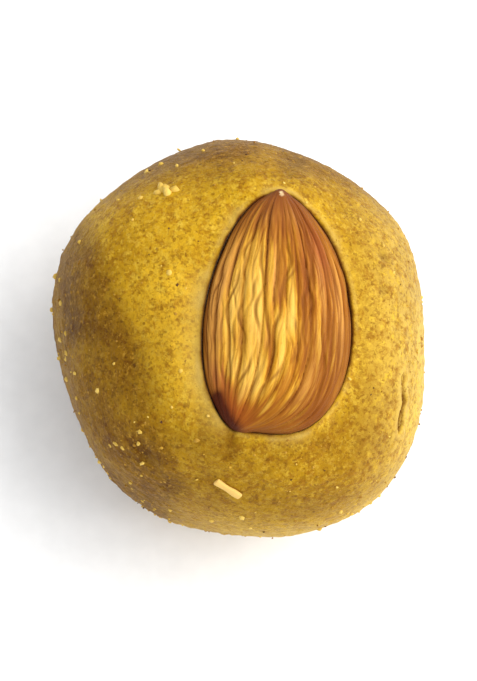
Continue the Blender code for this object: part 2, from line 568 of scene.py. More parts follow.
# %% [markdown]
# At the almond's edge the pressed paste stands up in a thin, uneven lip that leans on the skin, with a
# fine groove where the two touch. At the corner of the broad end the paste has come away and leaves a
# slit. Both are heights added to the same rings, so no edge of the mesh is ever torn open.

# %% The lip round the almond, and the finished rings
LIP_HEIGHT = 0.30 * MM
LIP_REACH = 0.8 * MM
LIP_EDGE = 0.12 * MM
SLIT = np.array([(-5.2, -8.7, 0.0), (-4.8, -9.6, 0.0), (-4.1, -10.6, 0.0), (-3.2, -11.4, 0.0)]) * MM
SLIT_WIDTH = 0.42 * MM
SLIT_LENGTH = 2.0 * MM
SLIT_DEPTH = 1.0 * MM
CONTACT_WIDTH = 0.20 * MM
CONTACT_DEPTH = 0.08 * MM
RELIEF_RISE = 0.5 * MM
SETTLE = 0.25 * MM


def lip_height(points, distance):
    """A rounded bead beside the almond: it rises at once, then falls off as a bell curve."""
    uneven = 0.7 + 0.7 * layered_noise(points, 2.2 * MM, 3, 41)
    rise = 1 - np.exp(-distance / LIP_EDGE)
    return LIP_HEIGHT * uneven * rise * bell(distance, LIP_REACH)


def slit_share(local):
    """1 in the slit beside the almond's corner, 0 away from it: a bell curve with a flat top."""
    level = local * [1, 1, 0]
    along = bell(np.linalg.norm(level - SLIT[1:3].mean(axis=0), axis=-1), SLIT_LENGTH)
    return along * np.exp(-((distance_to_path(level, SLIT) / SLIT_WIDTH) ** 4))


outer_local = to_almond(outer_rings)
beside_lip = smooth_step(edge_distance / RELIEF_RISE)
height = relief * beside_lip + lip_height(outer_rings, edge_distance)
in_slit = slit_share(outer_local)
height -= SLIT_DEPTH * in_slit + CONTACT_DEPTH * bell(edge_distance, CONTACT_WIDTH)
outer_finished = outer_rings + grid_normals(ball_rings)[SOCKET_RINGS:] * height[..., None]
rim_drop = np.array([0, 0, 1]) * (SLIT_DEPTH * in_slit[0] + CONTACT_DEPTH)[:, None]
outer_finished[0] = to_world(grown_rim) - rim_drop
socket_rings[-1] -= rim_drop
# (z + sqrt(z^2 + s^2)) / 2 is nearly z above the floor and never falls below it
outer_finished[..., 2] = (outer_finished[..., 2] + np.hypot(outer_finished[..., 2], SETTLE)) / 2
finished_rings = np.concatenate([socket_rings, outer_finished])
foot_middle[2] = outer_finished[-1, :, 2].mean()
print("ball stands from", round(outer_finished[..., 2].min() / MM, 3), "mm")

# %% [markdown]
# ## From rings to a mesh
#
# One helper turns any stack of closed rings into a mesh. Numbers that a material will need, such as
# how high the relief stands, go along as attributes: one value for each point.

# %% A mesh from closed rings
def ring_faces(rings, columns):
    """Quads between neighbouring rings.

    They face outwards if the columns run anticlockwise, seen from the first pole.
    """
    ring, column = np.meshgrid(np.arange(rings - 1), np.arange(columns), indexing="ij")
    here = ring * columns + column
    beside = ring * columns + (column + 1) % columns
    quads = np.stack([here, here + columns, beside + columns, beside], axis=-1)
    return quads.reshape(-1, 4)


def mesh_from_rings(name, rings, first_pole, last_pole):
    """A closed mesh: the rings' quads, and a fan of triangles at each pole."""
    count, columns = rings.shape[:2]
    points = np.concatenate([rings.reshape(-1, 3), [first_pole], [last_pole]])
    column = np.arange(columns)
    after = (column + 1) % columns
    last_ring = (count - 1) * columns
    first_fan = np.stack([np.full(columns, count * columns), column, after], axis=-1)
    last_pole_index = np.full(columns, count * columns + 1)
    last_fan = np.stack([last_pole_index, last_ring + after, last_ring + column], axis=-1)
    mesh = bpy.data.meshes.new(name)
    faces = ring_faces(count, columns).tolist() + first_fan.tolist() + last_fan.tolist()
    mesh.from_pydata(points.tolist(), [], faces)
    mesh.shade_smooth()
    return mesh


def add_attribute(mesh, name, values, poles=(0.0, 0.0)):
    """One number for each point of the rings, then one for each pole."""
    attribute = mesh.attributes.new(name, "FLOAT", "POINT")
    filled = np.append(np.asarray(values, float).ravel(), poles)
    attribute.data.foreach_set("value", filled.astype(np.float32))


def add_vector_attribute(mesh, name, values, poles):
    """The same for three numbers for each point."""
    attribute = mesh.attributes.new(name, "FLOAT_VECTOR", "POINT")
    filled = np.concatenate([values.reshape(-1, 3), poles])
    attribute.data.foreach_set("vector", filled.astype(np.float32).ravel())


def add_piece(name, mesh, slot, *replaced):
    """Puts a mesh in the scene as a piece of the object, which rides on its one body."""
    piece = bpy.data.objects.new(name, mesh)
    bpy.context.scene.collection.objects.link(piece)
    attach(piece, "root")
    if replaced:
        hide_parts(*replaced)
    mesh.calc_loop_triangles()
    print(name, "has", len(mesh.loop_triangles), "triangles")
    return piece


ball_mesh = mesh_from_rings("besan_surface", finished_rings, socket_middle, foot_middle)
add_piece("besan_surface", ball_mesh, "besan_paste", "besan_ball")

# %% [markdown]
# The paste isn't one colour, and part of what it shows is painted light and shade. Its left side and the
# ground before and behind the almond are darkened with painted shade, a long patch between the almond and
# that side is painted paler as if lit, the lower right and front carry a painted rim of light, ghee has
# left pale smears at the almond's edge, and the crack, the crease, the slit and the line along the
# almond's edge are darkened with painted shade. Each of these is worked out for every point, so that the
# material only has to mix colours by it. Painting them by hand would work too, but a formula can be
# changed and run again.

# %% Where the paste gets painted shade, painted light and a painted rim of light
# Weights of the painted shade: left, front, back, right, and one spot at the left side
SHADE_LEFT = 1.0
SHADE_FRONT = 0.4
SHADE_BACK = 0.95
SHADE_RIGHT = 0.25
SHADE_LEFT_SPOT = 0.6


def painted_side_shade(points):
    """Painted shade: a weighted sum of soft steps across the ball, each of them over a few millimetres.
    """
    across, forward, up = np.moveaxis(points / MM, -1, 0)
    left = smooth_step((-11 - across - 0.31 * forward) / 3.5)
    front = smooth_step((-10.5 - forward) / 3) * smooth_step((16 - across) / 10)
    upper_front = front * smooth_step((up - 19) / 8)
    back = smooth_step((forward - 10) / 6)
    right = smooth_step((across - 6) / 5) * smooth_step((forward + 4) / 8)
    left_spot = bell(np.hypot(across + 15.5, forward + 3.5), 5.5)
    total = SHADE_LEFT * left + SHADE_FRONT * upper_front + SHADE_BACK * back
    return total + SHADE_RIGHT * right + SHADE_LEFT_SPOT * left_spot


def painted_light_patch(points):
    """Painted light: one long soft patch of paler paste, between the almond and the shaded left side."""
    across, forward = points[..., 0] / MM, points[..., 1] / MM
    return bell(np.hypot((across + 7.8) / 3.2, (forward + 1.0) / 8.0), 1.0)


def painted_rim_light(points):
    """A painted rim of light: patches of noise, more and more of them towards the lower right and front.
    """
    across, forward, up = np.moveaxis(points / MM, -1, 0)
    patches = smooth_step(0.7 + layered_noise(points, 8 * MM, 3, 45))
    lower_right_front = smooth_step((0.7 * across - 0.7 * forward - 4) / 14)
    return patches * smooth_step((27 - up) / 16) * lower_right_front


# How much painted shade lies at each point of the paste
brown = painted_side_shade(outer_rings)
print("brown share of the paste:", round(float(np.clip(brown, 0, 1).mean()), 2))

# %% [markdown]
# Ghee and flour dust are pushed aside by the almond and by the crack, and set as pale smears beside them.
# The grooves themselves are darkened with painted shade. Both follow the distances that are known
# already, broken up by noise so that no line is even.

# %% Where it is smeared, and where painted shade lies in the grooves
CRACK_SHADE_WIDTH = 0.17 * MM
CREASE_SHADE_WIDTH = 0.8 * MM
CONTACT_SHADE_WIDTH = 0.40 * MM


def smearing(points, distance):
    """Bands of bell curves beside the almond and on both sides of the crack, broken up by noise."""
    across, forward = points[..., 0] / MM, points[..., 1] / MM
    wide_breaks = smooth_step(0.4 + layered_noise(points, 2 * MM, 2, 43))
    thin_breaks = smooth_step(0.5 + layered_noise(points, 1.5 * MM, 2, 44))
    wide = 0.5 * bell(distance - 0.4 * MM, 0.8 * MM) * wide_breaks
    thin = 0.4 * bell(distance - 0.6 * MM, 0.2 * MM) * thin_breaks
    left_side = smooth_step((-2 - across) / 3) * smooth_step((5 - forward) / 5)
    left = 0.5 * bell(distance, 1.9 * MM) * left_side
    return wide + thin + left + 0.6 * bell(crack_line(points) - 0.6 * MM, 0.3 * MM)


def staining(points, distance, slit):
    """Painted shade in the grooves: bell curves across the crack, the crease and the line where paste and
    almond touch, plus the slit.
    """
    crack = crack_strength(points) * bell(crack_line(points), CRACK_SHADE_WIDTH)
    crease = 0.32 * bell(distance_to_path(points, CREASE), CREASE_SHADE_WIDTH)
    broken = 0.75 + 0.9 * layered_noise(points, 1.0 * MM, 2, 46)
    contact = 0.9 * bell(distance, CONTACT_WIDTH) + 0.75 * bell(distance, CONTACT_SHADE_WIDTH) * broken
    return crack + crease + slit + contact


crack_darkness = crack_strength(outer_rings) * bell(crack_line(outer_rings), CRACK_SHADE_WIDTH)
print("points in the crack:", int((crack_darkness > 0.5).sum()))

# %% [markdown]
# Each tone goes along with the mesh as an attribute, and so does the height of the relief, stretched
# so that 0.5 is a place of middle height. The lining of the socket is out of sight and stays dark.

# %% The paste's attributes
RELIEF_MIDDLE = 0.1 * MM
RELIEF_RANGE = 1.0 * MM


def add_ball_attribute(name, values, in_socket=0.0):
    """The rings in the socket share one value, and the outer rings have their own, held to 0..1."""
    lining = np.full(socket_rings.shape[:2], in_socket)
    add_attribute(ball_mesh, name, np.concatenate([lining, np.clip(values, 0, 1)]))


add_ball_attribute("relief", 0.5 + (height - RELIEF_MIDDLE) / RELIEF_RANGE, 0.5)
# Painted shade, painted light and a painted rim of light go along as attributes, and so do the smears and
# the painted shade in the grooves
add_ball_attribute("painted_shade", brown)
add_ball_attribute("lit_patch_share", painted_light_patch(outer_rings))
add_ball_attribute("rim_light_share", painted_rim_light(outer_rings))
add_ball_attribute("smear", smearing(outer_rings, edge_distance))
# Painted shade in the grooves; the hidden lining of the socket is dark too
add_ball_attribute("stain", staining(outer_rings, edge_distance, in_slit), 1.0)
print("attributes:", [attribute.name for attribute in ball_mesh.attributes])

# %% [markdown]
# ## The almond's skin
#
# The skin is dry and ribbed. Veins start at the dark spot at one corner of the broad end, where the
# seed was joined to its shell, and run to the tip. Between them the skin swells into ridges. To lay
# them, each point of the almond is given the direction that it would have on a plain globe, and the
# globe's south pole is pulled over to that corner. Then every vein is just a line of nearly constant
# longitude. Drawing two dozen curves by hand on the skin would be the other way, but these can be
# made denser, deeper or more crooked by changing one number.

# %% Lines of longitude that meet at the corner
ALMOND_ROWS = 290
ALMOND_COLUMNS = 330
TOP_CROWDING = 0.4
CORNER_SHARE = 0.975
CORNER_AROUND = math.radians(184)
PULL_START = 0.12
VEIN_DRIFT = math.radians(13)
DRIFT_START = 0.35
DRIFT_RANGE = 0.55

# The columns run anticlockwise, seen from the tip, and crowd on the upper side, which shows
row_angle = np.linspace(0, np.pi, ALMOND_ROWS + 2)[1:-1, None]
even_around = np.linspace(2 * np.pi, 0, ALMOND_COLUMNS, endpoint=False)[None]
crowded_around = even_around + TOP_CROWDING * np.cos(even_around)
skin_share, skin_around = np.broadcast_arrays((1 - np.cos(row_angle)) / 2, crowded_around)


def globe_direction(share, around):
    """The direction on a plain globe whose poles are the tip and the broad end."""
    level = 2 * np.sqrt(share * (1 - share))
    return np.stack([level * np.cos(around), level * np.sin(around), 1 - 2 * share], axis=-1)


def turn_about(vectors, axis, angle):
    """Rodrigues' formula, with one angle for each vector."""
    angle = angle[..., None]
    along = (vectors @ axis)[..., None] * axis
    return vectors * np.cos(angle) + np.cross(axis, vectors) * np.sin(angle) + along * (1 - np.cos(angle))


def vein_globe(share, around):
    """The globe with its south pole pulled to the corner, more and more from the tip to the end."""
    corner = globe_direction(np.array(CORNER_SHARE), np.array(CORNER_AROUND))
    south = np.array([0, 0, -1.0])
    axis = unit(np.cross(corner, south))
    pull = math.acos(corner @ south) * smooth_step((share - PULL_START) / (1 - PULL_START))
    return turn_about(globe_direction(share, around), axis, pull)


skin_base = almond_form(skin_share, skin_around)
skin_globe = vein_globe(skin_share, skin_around)
latitude = (1 - skin_globe[..., 2]) / 2
drift = VEIN_DRIFT * smooth_step((latitude - DRIFT_START) / DRIFT_RANGE)
longitude = np.arctan2(skin_globe[..., 1], skin_globe[..., 0]) + drift
slice_radius = np.sqrt(half_width(skin_share) * half_thickness(skin_share))
print("longitudes, degrees:", np.round(np.degrees([longitude.min(), longitude.max()])))

# %% [markdown]
# Each vein's longitude wanders a little along its length, and its strength comes and goes, so that
# two ridges can run into one. Both are sums of sines with random phases: they never repeat in a way
# that shows, and they are smooth everywhere, which hand-drawn lines rarely are.

# %% Lines that wander along the skin
# The longitudes of the main veins, in degrees: those that show, then the hidden lower ones
UPPER_VEINS = (4, 15, 27, 39, 52, 71, 81, 90, 100, 110, 129, 144, 161)
LOWER_VEINS = np.linspace(178, 346, 11)


def wave_along(random, count, size, waves):
    """For each vein, a sum of sines of the latitude, each wave weaker by its number."""
    shape = (count, 1, 1)
    return sum(
        random.uniform(-size, size, shape) / wave
        * np.sin(2 * np.pi * wave * latitude + random.uniform(0, 2 * np.pi, shape))
        for wave in waves
    )


def vein_lines(seed, places, wander, strengths, fading, waves):
    """Each vein's longitude and its strength from 0 to 1, both at every point's latitude.

    wander is a share of the veins' mean spacing, strengths the least and most, and fading is how far
    a vein's strength rises and falls along it.
    """
    random = np.random.default_rng(seed)
    count = len(places)
    spacing = 2 * np.pi / count
    centres = np.radians(places)[:, None, None] + spacing * wave_along(random, count, wander, waves)
    strength = random.uniform(*strengths, (count, 1, 1)) + wave_along(random, count, fading, (1, 2, 4))
    return centres, np.clip(strength, 0, 1)


vein_places = np.concatenate([UPPER_VEINS, LOWER_VEINS])
main_lines = vein_lines(3, vein_places, 0.15, (0.7, 1.2), 0.5, (1, 2, 3, 5, 8))
print("main veins:", len(vein_places))

# %% [markdown]
# For the main veins, every point of the skin finds the veins to its left and right, and a ridge is a
# flat arch over the stretch between them. The thin side veins and the finest wrinkles are lines of a
# fixed width instead, which may cross and fork. Most of them fade out after a few millimetres.

# %% Ridges between veins
SIDE_VEINS = 64
WRINKLES = 130
SIDE_WIDTH = 0.17 * MM
WRINKLE_WIDTH = 0.09 * MM
ARCH_POWER = 0.6


def arched_ridges(centres, strength):
    """The groove (0 on a ridge to 1 in a vein), each point's ridge number, and the ridge's width."""
    after = (longitude - centres) % (2 * np.pi)
    before = (centres - longitude) % (2 * np.pi)
    last, following = after.argmin(axis=0), before.argmin(axis=0)
    gap_after, gap_before = after.min(axis=0), before.min(axis=0)
    width = gap_after + gap_before
    place = gap_after / width
    arch = (4 * place * (1 - place)) ** ARCH_POWER
    chosen = [np.take_along_axis(strength, ridge[None], axis=0)[0] for ridge in (last, following)]
    depth = chosen[0] + (chosen[1] - chosen[0]) * place
    return depth * (1 - arch), last, width * slice_radius


def thin_lines(centres, strength, width):
    """The deepest of many lines at each point: each is a bell curve across, of the same real width."""
    aside = (longitude - centres + np.pi) % (2 * np.pi) - np.pi
    return (strength * bell(aside * slice_radius, width)).max(axis=0)


def evenly(count):
    """Longitudes in degrees, evenly spaced all the way round."""
    return np.arange(count) * 360 / count


side_lines = vein_lines(6, evenly(SIDE_VEINS), 1.6, (-0.1, 0.9), 1.2, (1, 2, 3, 5, 8))
wrinkle_lines = vein_lines(8, evenly(WRINKLES), 2.2, (-0.2, 0.8), 1.2, (1, 3, 5, 8))
veins, ridge, ridge_width = arched_ridges(*main_lines)
side_veins = thin_lines(*side_lines, SIDE_WIDTH)
wrinkles = thin_lines(*wrinkle_lines, WRINKLE_WIDTH)
print("ridges are up to", round(ridge_width.max() / MM, 2), "mm wide")

# %% [markdown]
# Now the heights are added up. The ridges are lower near the tip, close to the rim and where they run
# together at the corner. Slow noise makes the whole skin a little uneven, and a finer one drawn out
# along the almond makes it papery. The tip ends in a small nub and is pushed a little up and out, and
# the corner where the seed hung has a larger nub. All of it is real height and not a bump map,
# because the light comes from the side and every ridge throws a small shadow.

# %% The almond's surface
VEIN_DEPTH = 0.36 * MM
SIDE_DEPTH = 0.18 * MM
WRINKLE_DEPTH = 0.07 * MM
FULL_RIDGE = 1.3 * MM
TIP_SMOOTH = 0.10
TIP_START = 0.15
FAN_LOSS = 0.6
FAN_START = 0.84
FAN_RANGE = 0.12
RIM_SMOOTH = 0.9 * MM
RIM_SHARE = 0.4
UNEVEN_HEIGHT = 0.12 * MM
PAPER_HEIGHT = 0.03 * MM
TIP_NUB = 0.36 * MM
TIP_HEIGHT = 0.14 * MM
CORNER_NUB = 1.5 * MM
CORNER_HEIGHT = 0.45 * MM
POLE_SHARE = 0.01
TIP_PUSH = np.array([0, 0.45, 0.15]) * MM
TIP_REACH = 0.9 * MM

tip = np.array([0, ALMOND_LENGTH / 2, 0])
broad_end = np.array([0, -ALMOND_LENGTH / 2, 0])
tip_spot = tip + np.array([0, -0.6, 0.5]) * MM
corner_spot = almond_form(np.array(CORNER_SHARE), np.array(CORNER_AROUND))
tip_distance = np.linalg.norm(skin_base - tip_spot, axis=-1)
corner_distance = np.linalg.norm(skin_base - corner_spot, axis=-1)
rim_distance = np.abs(skin_base[..., 2])

# How deep the veins are at each point, as a share: narrow ridges have shallow veins
shallow = np.clip(ridge_width / FULL_RIDGE, 0, 1) * smooth_step(skin_share / TIP_SMOOTH + TIP_START)
shallow *= 1 - FAN_LOSS * smooth_step((latitude - FAN_START) / FAN_RANGE)
above_rim = smooth_step(rim_distance / RIM_SMOOTH)
vein_relief = VEIN_DEPTH * (RIM_SHARE + (1 - RIM_SHARE) * above_rim) * veins
thin_relief = SIDE_DEPTH * side_veins + WRINKLE_DEPTH * wrinkles

skin_relief = -shallow * (vein_relief + above_rim * thin_relief)
skin_relief += UNEVEN_HEIGHT * layered_noise(skin_base, 5 * MM, 2, 51)
skin_relief += PAPER_HEIGHT * layered_noise(skin_base * [1, 0.4, 1], 0.9 * MM, 2, 52)
skin_relief += CORNER_HEIGHT * bell(corner_distance, CORNER_NUB)
skin_relief += TIP_HEIGHT * bell(tip_distance, TIP_NUB)
skin_relief *= smooth_step(skin_share / POLE_SHARE) * smooth_step((1 - skin_share) / POLE_SHARE)

skin_rings = skin_base + grid_normals(skin_base) * skin_relief[..., None]
skin_rings += TIP_PUSH * bell(np.linalg.norm(skin_base - tip, axis=-1), TIP_REACH)[..., None]
first_pole, last_pole = to_world(tip + TIP_PUSH), to_world(broad_end)
almond_mesh = mesh_from_rings("almond_kernel", to_world(skin_rings), first_pole, last_pole)
print("skin relief, mm:", round(skin_relief.min() / MM, 3), round(skin_relief.max() / MM, 3))

# %% [markdown]
# Where the skin rubbed against the shell its brown bloom has worn off, and the golden layer under it
# shows, mostly on the crowns of the ridges at the left and middle. The upper right stays reddish, some
# ridges are a pale tan, and the corner where the seed hung is nearly black, partly its own dark skin and
# partly painted shade from the slit beside it. Bell-shaped patches in the same globe say where, so they
# are long and narrow like the ridges.

# %% Where the gold shows
# Each patch: longitude in degrees, latitude from 0 at the tip to 1 at the corner, its width in each,
# and its strength
GOLD_PATCHES = (
    (116, 0.40, 10, 0.20, 1.1),
    (117, 0.64, 9, 0.18, 1.1),
    (142, 0.60, 10, 0.18, 1.2),
    (134, 0.42, 8, 0.15, 0.9),
    (132, 0.24, 8, 0.08, 0.5),
    (118, 0.84, 12, 0.08, 0.8),
    (137, 0.81, 12, 0.08, 0.8),
    (104, 0.87, 8, 0.06, 0.6),
    (98, 0.58, 5, 0.09, 0.9),
    (86, 0.43, 5, 0.17, 0.9),
    (90, 0.56, 6, 0.08, 0.8),
    (92, 0.71, 6, 0.08, 0.9),
    (104, 0.26, 2.5, 0.12, 0.6),
    (108, 0.78, 6, 0.08, 0.7),
    (95, 0.83, 5, 0.07, 0.6),
    (62, 0.58, 6, 0.10, 0.6),
    (44, 0.60, 5, 0.10, 0.5),
    (75, 0.82, 3, 0.10, 0.8),
    (88, 0.90, 3, 0.06, 0.9),
    (120, 0.92, 4, 0.04, 0.8),
    (64, 0.87, 3, 0.08, 0.8),
    (52, 0.88, 3, 0.07, 0.8),
    (40, 0.89, 3, 0.06, 0.7),
    (32, 0.74, 4, 0.10, 0.4),
)


def patches(list_of_patches):
    """At each point of the skin, the sum of all the patches: a bell curve each way, times strength."""
    total = np.zeros(longitude.shape)
    for centre, along, wide, long, strength in list_of_patches:
        aside = (np.degrees(longitude) - centre + 180) % 360 - 180
        total += strength * bell(aside, wide) * bell(latitude - along, long)
    return total


print("gold is strongest at", round(patches(GOLD_PATCHES).max(), 2))

# %% [markdown]
# The rest of the skin differs as well: reddish where the bloom is thick, pale tan where it is thin,
# and dark in short nicks between the ridges. These are patches of the same kind.

# %% Where it is reddish, tan or dark
RED_PATCHES = (
    (62, 0.24, 9, 0.17, 0.8),
    (48, 0.27, 10, 0.15, 0.7),
    (48, 0.20, 7, 0.15, 0.7),
    (75, 0.30, 3, 0.20, 0.6),
    (96, 0.14, 12, 0.07, 0.5),
    (25, 0.34, 10, 0.12, 0.4),
    (158, 0.88, 24, 0.07, 1.3),
)
TAN_PATCHES = (
    (153, 0.50, 7, 0.26, 1.0),
    (170, 0.54, 10, 0.32, 1.1),
    (76, 0.10, 14, 0.04, 0.4),
    (112, 0.12, 9, 0.04, 0.4),
    (132, 0.52, 20, 0.30, 0.8),
    (34, 0.46, 6, 0.16, 0.8),
    (103, 0.36, 5, 0.12, 1.0),
    (110, 0.64, 4, 0.10, 0.8),
    (57, 0.38, 3, 0.12, 0.5),
    (66, 0.76, 4, 0.10, 0.6),
)
DARK_PATCHES = (
    (84, 0.56, 1.3, 0.03, 1.0),
    (112, 0.10, 2.0, 0.05, 0.7),
    (70, 0.12, 2.5, 0.06, 0.8),
    (92, 0.16, 1.6, 0.06, 0.7),
    (80, 0.62, 1.2, 0.04, 1.0),
    (83, 0.68, 1.2, 0.03, 0.8),
    (71, 0.35, 1.6, 0.25, 0.7),
    (117, 0.62, 1.4, 0.12, 0.3),
    (131, 0.60, 1.6, 0.14, 0.4),
    (100, 0.70, 1.4, 0.06, 0.3),
    (8, 0.40, 6.0, 0.30, 0.3),
)


def ridge_tone(numbers, seed):
    """A soft random value that changes from ridge to ridge and slowly along each."""
    return lattice_noise(np.stack([1.7 * numbers, 3.2 * latitude, 0 * latitude], axis=-1), 1.0, seed)


tone = ridge_tone(ridge, 53)
print("tone of the ridges: from", round(tone.min(), 2), "to", round(tone.max(), 2))

# %% [markdown]
# All that the skin's material mixes by goes along with the mesh: how deep a vein of each kind is, how
# much gold, red or tan there is, and how near a point lies to the rim, the ends and the corner. The
# streak attribute is the place on the globe, so that noise laid in it runs along the veins.

# %% The skin's attributes
RIM_SHADE_WIDTH = 0.7 * MM
CORNER_DARKNESS = 0.6 * MM
BLUSH_ASIDE = np.array([-0.7, 1.5, 0.8]) * MM
BLUSH_REACH = 2.2 * MM
TIP_ZONE = 3.6 * MM

# The lower right and the low end are browner, the rim is darkened with painted shade where the paste
# meets it, the corner beside the slit is nearly black, partly its own dark skin and partly painted shade,
# and there is a reddish blush round it
skin_across, skin_forward = skin_base[..., 0], skin_base[..., 1]
right_half = smooth_step((skin_across - 1 * MM) / (4 * MM))
lower_right = right_half * smooth_step((1 * MM - skin_forward) / (5 * MM))
low_end = smooth_step((-7 * MM - skin_forward) / (4 * MM))
end_brown = 0.6 * lower_right + 0.6 * low_end
# Painted shade along the rim, where the paste's lip meets the skin
rim_painted_shade = (0.85 - 0.4 * lower_right) * bell(rim_distance, RIM_SHADE_WIDTH)
# The corner: its own dark skin, with painted shade from the slit beside it
corner_dark_and_shade = bell(distance_to_path(skin_base * [1, 1, 0], SLIT), CORNER_DARKNESS)
corner_blush = bell(np.linalg.norm(skin_base - corner_spot - BLUSH_ASIDE, axis=-1), BLUSH_REACH)
# The veins are dark partly in the skin's own colour and partly with painted shade, more where they are
# deeper
vein_darkness = 0.6 + 0.4 * shallow
streak_place = np.stack([np.cos(longitude), np.sin(longitude), latitude], axis=-1)
add_attribute(almond_mesh, "vein", veins * vein_darkness)
add_attribute(almond_mesh, "side_vein", side_veins * vein_darkness)
add_attribute(almond_mesh, "wrinkle", wrinkles)
add_attribute(almond_mesh, "gold", patches(GOLD_PATCHES))
add_attribute(almond_mesh, "red", patches(RED_PATCHES))
add_attribute(almond_mesh, "tan", patches(TAN_PATCHES))
add_attribute(almond_mesh, "shade", tone)
add_attribute(almond_mesh, "crest", (1 - veins) * (1 - side_veins) * shallow)
# The dark nicks, and the painted shade along the rim
add_attribute(almond_mesh, "dark", np.clip(patches(DARK_PATCHES) + rim_painted_shade, 0, 1))
add_attribute(almond_mesh, "end", np.clip(end_brown, 0, 1), (0.0, 1.0))
add_attribute(almond_mesh, "corner", np.clip(corner_dark_and_shade, 0, 1))
add_attribute(almond_mesh, "blush", corner_blush)
add_attribute(almond_mesh, "tip", bell(tip_distance, TIP_NUB), (1.0, 0.0))
add_attribute(almond_mesh, "tip_zone", bell(tip_distance, TIP_ZONE), (1.0, 0.0))
add_vector_attribute(almond_mesh, "streak", streak_place, [(0, 0, 0), (0, 0, 1)])
almond_kernel = add_piece("almond_kernel", almond_mesh, "almond_skin", "almond")

# %% [markdown]
# ## Crumbs, grains and specks
#
# What lies loose on the paste is far too fine for the solids, but it catches the light and breaks the
# smooth outline. Each kind is one mesh of many small bodies. Their places are drawn from the ball's own
# grid, and a patch of it is as likely as its area times a likeliness of its own. Without the area the
# narrow patches near the almond and under the foot would be far too full.

# %% Draw places on the ball
FLOOR_CLEARANCE = 0.5 * MM
PLACE_SCATTER = 0.08 * MM

this_ring, next_ring = outer_finished[:-1], outer_finished[1:]
patch_side = this_ring + next_ring
patch_middle = (patch_side + np.roll(patch_side, -1, axis=1)) / 4
patch_down = next_ring - this_ring
patch_along = np.roll(this_ring, -1, axis=1) - this_ring
patch_area = np.linalg.norm(np.cross(patch_down, patch_along), axis=-1)
patch_normal = unit(grid_normals(outer_rings)[:-1])
patch_crumbly = crumbliness(patch_middle)

# No body starts low at the foot, on the almond or in the slit
clear_of_floor = smooth_step((patch_middle[..., 2] - FLOOR_CLEARANCE) / (1.5 * MM))
clear_of_almond = smooth_step(edge_distance[:-1] / (0.4 * MM) - 0.5) * (in_slit[:-1] < 0.05)


def draw_places(random, count, likeliness):
    """Random patches of the grid, with their middle points and normals."""
    weight = (patch_area * clear_of_floor * clear_of_almond * likeliness).ravel()
    chosen = random.choice(weight.size, size=count, p=weight / weight.sum())
    scatter = random.normal(0, PLACE_SCATTER, (count, 3))
    return patch_middle.reshape(-1, 3)[chosen] + scatter, patch_normal.reshape(-1, 3)[chosen]


print("patches to draw from:", patch_area.size, "with", round(patch_area.sum() / MM**2), "square mm")

# %% [markdown]
# A crumb is a broken, uneven lump. Each body starts as an icosahedron, the roundest of the plain
# solids with so few faces. Its corners are pushed in and out, it is stretched and turned at random,
# and then it is sunk into the surface, so that none of them floats. At half a millimetre across,
# twenty faces with smooth shading are enough, and thousands of them still make a light mesh.

# %% Bodies for them
GOLDEN = (1 + math.sqrt(5)) / 2
UNEVEN_CORNERS = (0.75, 1.2)


def icosahedron():
    """Twelve corners and twenty faces: every face joins three corners that are one edge apart."""
    signs = np.array(list(itertools.product((-1, 1), repeat=2)))
    flat = np.concatenate([np.zeros((4, 1)), signs * [1, GOLDEN]], axis=1)
    corners = unit(np.concatenate([np.roll(flat, turn, axis=1) for turn in range(3)]))
    edge = np.linalg.norm(corners[0] - corners, axis=1)
    near = np.sort(edge)[1] * 1.01
    faces = []
    for trio in itertools.combinations(range(12), 3):
        a, b, c = corners[list(trio)]
        if max(np.linalg.norm(a - b), np.linalg.norm(b - c), np.linalg.norm(c - a)) < near:
            outward = np.dot(np.cross(b - a, c - a), a) > 0
            faces.append(trio if outward else trio[::-1])
    return corners, np.array(faces)


def random_turns(random, count):
    """Rotation matrices from random unit quaternions."""
    w, x, y, z = unit(random.normal(size=(count, 4))).T
    rows = [
        [1 - 2 * (y * y + z * z), 2 * (x * y - w * z), 2 * (x * z + w * y)],
        [2 * (x * y + w * z), 1 - 2 * (x * x + z * z), 2 * (y * z - w * x)],
        [2 * (x * z - w * y), 2 * (y * z + w * x), 1 - 2 * (x * x + y * y)],
    ]
    return np.moveaxis(np.array(rows), -1, 0)


def scatter_bodies(name, random, places, normals, size, stretch, sunk):
    """One mesh of many uneven bodies.

    size is each one's radius, stretch its three proportions, and sunk how far its middle lies below
    the surface, as a share of its radius.
    """
    corners, faces = icosahedron()
    count = len(places)
    uneven = random.uniform(*UNEVEN_CORNERS, (count, len(corners), 1))
    shapes = corners[None] * uneven * stretch[:, None]
    turned = np.einsum("nij,nkj->nki", random_turns(random, count), shapes)
    points = turned * size[:, None, None] + (places - normals * (sunk * size)[:, None])[:, None]
    all_faces = faces[None] + (np.arange(count) * len(corners))[:, None, None]
    mesh = bpy.data.meshes.new(name)
    mesh.from_pydata(points.reshape(-1, 3).tolist(), [], all_faces.reshape(-1, 3).tolist())
    mesh.shade_smooth()
    tint = np.repeat(random.uniform(0, 1, count), len(corners))
    attribute = mesh.attributes.new("tint", "FLOAT", "POINT")
    attribute.data.foreach_set("value", tint.astype(np.float32))
    return mesh


print("faces of one body:", len(icosahedron()[1]))

# %% [markdown]
# The paste's own crumbs are the most, the smallest and the deepest sunk. They are drawn more often
# where the paste is crumbly, and their sizes come from a gamma distribution: many small ones and a
# few large ones, as when anything breaks up.

# %% Scatter the paste's own crumbs
CRUMBS = 1700
crumb_random = np.random.default_rng(71)
crumb_places, crumb_normals = draw_places(crumb_random, CRUMBS, 0.3 + patch_crumbly)
crumb_size = crumb_random.gamma(4.0, 0.028 * MM, CRUMBS) + 0.05 * MM
crumb_stretch = crumb_random.uniform(0.7, 1.2, (CRUMBS, 3))
crumb_mesh = scatter_bodies(
    "paste_crumbs", crumb_random, crumb_places, crumb_normals, crumb_size, crumb_stretch, 0.85
)
add_piece("paste_crumbs", crumb_mesh, "besan_paste")
